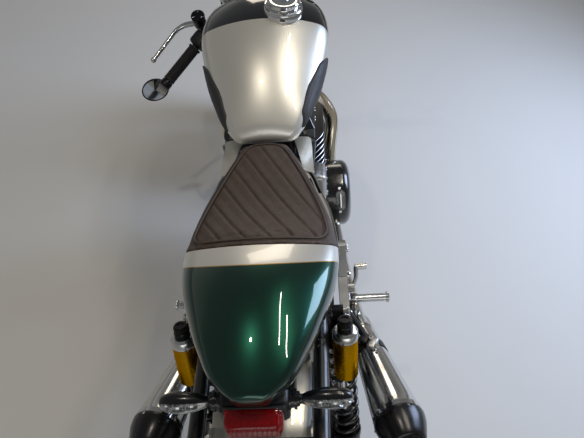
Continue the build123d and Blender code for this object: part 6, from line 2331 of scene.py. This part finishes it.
    def headlamp(self) -> tuple[Shell, Shell]:
        """The lamp bowl with its ears, and its glass over a mirror."""
        at = Vector((0, FORK_OFFSET + self.lamp_ahead, self.lamp_height))
        look = STEERING_PLACE.to_3x3().inverted() @ unit((0, 1, -0.05))
        bowl = Shell().lathe(
            at, look, ((-120, 0.01), (-120, 26), (-117, 38), (-104, 58), (-86, 76), (-66, 86), (-48, 88),
                (-30, 88), (-30, 80)), 0, 80)
        for side in (-1, 1):
            bowl.box((side * self.spread, FORK_OFFSET + 63.5, self.lamp_height), (8, 89, 52), None, 3, 1)
            bowl.lathe(
                (side * 80, FORK_OFFSET + 80, self.lamp_height), (side, 0, 0),
                ((0, 12), (26, 12), (28, 15), (33, 15), (35, 12)), 2, 28)
        glass = Shell().lathe(
            at, look, ((-33, 86), (-33, 91), (-31, 92), (-21, 92), (-19, 90.5), (-18, 86), (-21, 83)), 0, 96)
        glass.lathe(at, look, ((-22, 84), (-34, 78), (-50, 62), (-60, 40), (-64, 18), (-64, 0.01)), 0, 64)
        glass.lathe(at, look, ((-64, 12), (-40, 12), (-36, 9), (-36, 0.01)), 0, 24)
        glass.lathe(
            at, look, ((-23, 0.01), (-23, 84), (-19, 84), (-15, 74), (-11, 58), (-9, 36), (-8, 0.01)), 1, 96)
        return bowl, glass

    def build(self, machine: Machine) -> None:
        """Builds the steering's pieces and dresses the rest."""
        lamp, glass = self.headlamp()
        rows = (
            (self.forks(), "fork_tubes_and_sliders", "black_anodised",
                (BLACK_ANODISED, CHROME, CAST_ALUMINIUM, GRIP_RUBBER, GOLD), ["fork_legs"]),
            (self.grips(), "ribbed_grips", "tyre_rubber", (GRIP_RUBBER,), ["grips"]),
            (self.controls(), "switches_and_levers", "black_anodised",
                (BLACK_PLASTIC, BLACK_ANODISED, STAINLESS, TURNED_ALUMINIUM), ["bar_controls"]),
            (self.stop_button(), "stop_button", "red_lens", (RED_BUTTON,), []),
            (self.mirrors(), "bar_end_mirror_glasses", "black_anodised", (BLACK_ANODISED, CHROME),
                ["bar_end_mirrors"]),
            (self.clocks(), "clocks_and_bracket", "black_anodised",
                (GLOSS_PLASTIC, CHROME, DIAL_BLACK, DIAL_WHITE, RED_BUTTON), ["instruments"]),
            (lamp, "headlamp_bowl", "black_frame_enamel", (GLOSS_ENAMEL, BLACK_ANODISED, STAINLESS),
                ["headlamp"]),
            (glass, "headlamp_glass", "clear_lens", (CHROME, CLEAR_LENS), ["headlamp_lens"]))
        for shell, name, slot, finishes, nodes in rows:
            shell.moved(STEERING_PLACE).build(
                name, machine, slot, *finishes, body=Body.STEERING, stands_for=nodes)
        start = Vector((self.spread + self.tube_radius - 2, FORK_OFFSET + 6, 820))
        indicator_pair(start, 94).moved(STEERING_PLACE).build(
            "front_indicator_lamps", machine, "black_frame_enamel", GLOSS_PLASTIC, CLEAR_LENS,
            TURNED_ALUMINIUM, body=Body.STEERING, stands_for=["front_indicators"])
        nuts = Shell().lathe(
            (0, 0, 993), UP, ((0, 20), (3, 20), (3, 15), (12, 15), (14, 13), (14, 8), (4, 8)), 0, 6)
        for side in (-1, 1):
            for height in (781, 981):
                nuts.bolt((side * self.spread, FORK_OFFSET * 0.72 - 31, height), -AHEAD, 4.5)
        nuts.moved(STEERING_PLACE).build("yoke_nuts", machine, "chrome_plate", CHROME, body=Body.STEERING)
        machine.dress(CAST_ALUMINIUM, "fork_yokes", soften=3.0)
        machine.dress(BLACK_ANODISED, "clip_on_bars", soften=1.0)
        machine.dress(SILVER_PAINT, "front_mudguard")
        machine.dress(STAINLESS, "front_axle")


@dataclass
class Chassis:
    """Frame tubes, swinging arm, subframe and stand, with their bolts."""

    rail_bolts: tuple = ((107, 114, 721), (106, 100, 722))
    arm_face: float = 139

    def fittings(self) -> Shell:
        """Axle nuts, chain adjusters, rail bolts and engine bolts."""
        shell = Shell()
        for x, y, z in self.rail_bolts:
            shell.bolt((x, y, z), UP, 6.0)
        shell.lathe(
            (self.arm_face, REAR_AXLE.y, REAR_AXLE.z), ACROSS, ((0, 22), (3, 22), (3, 17), (14, 17), (16, 14),
                (16, 8.2)), 0, 6)
        shell.box((self.arm_face - 1, -6, REAR_AXLE.z), (5, 52, 38), None, 3)
        shell.bolt((self.arm_face - 13, -34, REAR_AXLE.z), -AHEAD, 5)
        shell.lathe((self.arm_face, 550, 400), ACROSS, ((0, 20), (3, 20), (4, 15), (12, 15), (13, 12)), 0, 6)
        for y, z in ((980, 290), (1000, 470), (600, 262), (560, 470)):
            shell.bolt((104, y, z), ACROSS, 6)
        return shell.mirrored()

    def build(self, machine: Machine) -> None:
        """Builds the fittings and dresses the frame's CAD nodes."""
        self.fittings().build("frame_bolts", machine, "polished_steel", STAINLESS)
        machine.dress(FRAME_ENAMEL, "main_frame", "frame_cradle_right", "frame_cradle_left", "rear_subframe")
        machine.dress(FRAME_ENAMEL, "swingarm", soften=4.0)
        machine.dress(STAINLESS, "rear_axle_and_pivot")
        machine.dress(FRAME_ENAMEL, "side_stand", soften=1.2)


class Studio:
    """Floor, soft light and the camera at the photograph's viewing angle."""

    camera_at = Vector((119.13, -382.42, 1625.66))
    looks_along = Vector((-0.05428, 0.65840, -0.75071))
    frame_down = Vector((-0.04902, -0.75267, -0.65657))
    focal_px = 554.53
    frame_width_px = 584
    floor_reach = 14.0
    # name, place, aim, sides, watts and tint of each lamp, in metres
    lamps = (
        ("front_box", (-0.3, 3.9, 2.3), (0, 0.2, 0.8), (1.8, 0.9), 18, "#fff2e0"),
        ("long_strip", (0.36, 0.2, 2.6), (0.36, 0.2, 0), (0.025, 1.15), 6.5, "#fff4e2"),
        ("short_strip", (0.63, -0.14, 2.6), (0.63, -0.14, 0), (0.035, 0.68), 4.5, "#fff4e2"),
        ("small_lamp", (-0.61, -0.3, 2.6), (-0.3, -0.3, 0), (0.05, 0.05), 4.5, "#fff4e2"),
        ("window_box", (2.35, 0.85, 1.9), (0, 0, 0.75), (1.2, 1.6), 60, "#c8dcff"),
        ("rear_box", (0.4, -3.4, 1.6), (0, -0.4, 0.6), (2.6, 1.4), 16, "#ffffff"))

    def camera(self, machine: Machine) -> None:
        """Sets the camera where the photograph was taken from."""
        turn = machine.fixed.to_3x3() * (1 / MM)
        forward = (turn @ self.looks_along).normalized()
        down = turn @ self.frame_down
        back, up = -forward, -(down - forward * down.dot(forward)).normalized()
        right = up.cross(back)
        data = bpy.data.cameras.new("viewpoint")
        data.sensor_width = 36.0
        data.lens = self.focal_px * data.sensor_width / self.frame_width_px
        data.clip_start, data.clip_end = 0.05, 60.0
        camera = bpy.data.objects.new("viewpoint", data)
        axes = Matrix((right, up, back)).transposed().to_4x4()
        camera.matrix_world = Matrix.Translation(machine.fixed @ self.camera_at) @ axes
        bpy.context.scene.collection.objects.link(camera)
        bpy.context.scene.camera = camera

    def lamp(
            self, name: str, at: Point, aim: Point, size: tuple[float, float], power: float,
            tint: str) -> None:
        """Adds a soft rectangular lamp.

        Args:
            name: the lamp's name.
            at: where it hangs, in metres.
            aim: what it points at.
            size: its two sides.
            power: its light in watts.
            tint: its colour.
        """
        data = bpy.data.lights.new(name, "AREA")
        data.shape, data.size, data.size_y = "RECTANGLE", *size
        data.energy, data.color = power, linear(tint)[:3]
        lamp = bpy.data.objects.new(name, data)
        lamp.location = at
        lamp.rotation_euler = (Vector(aim) - Vector(at)).to_track_quat("-Z", "Y").to_euler()
        lamp.visible_camera = False
        bpy.context.scene.collection.objects.link(lamp)

    def build(self, machine: Machine) -> None:
        """Builds the studio."""
        self.camera(machine)
        floor_mesh = bpy.data.meshes.new("studio_floor")
        reach = self.floor_reach
        floor_mesh.from_pydata(
            [(-reach, -reach, 0), (reach, -reach, 0), (reach, reach, 0), (-reach, reach, 0)], [],
            [(0, 1, 2, 3)])
        paper = Finish("studio_paper", "#dddcd8", 0.7, mottle=0.01, mottle_mm=400, smudge=0.02)
        floor_mesh.materials.append(paper.material())
        floor = bpy.data.objects.new("studio_floor", floor_mesh)
        bpy.context.scene.collection.objects.link(floor)
        world = bpy.data.worlds.new("studio_sky")
        bpy.context.scene.world = world
        world.use_nodes = True
        tree = world.node_tree
        tree.nodes.clear()
        ray = add_node(tree, "ShaderNodeTexCoord").outputs["Generated"]
        height = add_node(tree, "ShaderNodeSeparateXYZ", {}, {0: ray}).outputs[2]
        node = add_node(tree, "ShaderNodeValToRGB", {}, {"Fac": height})
        ramp = node.color_ramp
        ramp.elements[0].color = linear("#a5a3a0")
        ramp.elements[1].color = linear("#66676a")
        ramp.elements.new(0.3).color = linear("#77787a")
        light = add_node(tree, "ShaderNodeBackground", {"Strength": 0.9}, {"Color": node.outputs[0]})
        add_node(tree, "ShaderNodeOutputWorld", {}, {"Surface": light.outputs[0]})
        for row in self.lamps:
            self.lamp(*row)
        bpy.context.scene.view_settings.view_transform = "Standard"


def main() -> None:
    """Builds the machine's looks piece by piece."""
    logging.basicConfig(level=logging.INFO, format="%(message)s")
    machine = Machine(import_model())
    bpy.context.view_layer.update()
    Studio().build(machine)
    rear = Wheel(
        "rear", Body.REAR_WHEEL, REAR_AXLE, radius=311.9, width=160, crown=56, rim_width=127, hub_radius=34,
        hub_width=150, flange_radius=58, flange_offset=56)
    front = Wheel(
        "front", Body.FRONT_WHEEL, FRONT_AXLE, radius=299.9, width=120, crown=48, rim_width=88.9,
        hub_radius=30, hub_width=118, flange_radius=46, flange_offset=44)
    for part in (
        Tank(), Seat(), SidePanels(), Tail(), Shocks(), Exhaust(), Engine(), RiderControls(), rear, front,
        Brakes(), Drive(), FrontEnd(), Chassis()):
        part.build(machine)
        log.info("%s finished", type(part).__name__)


if __name__ == "__main__":
    main()
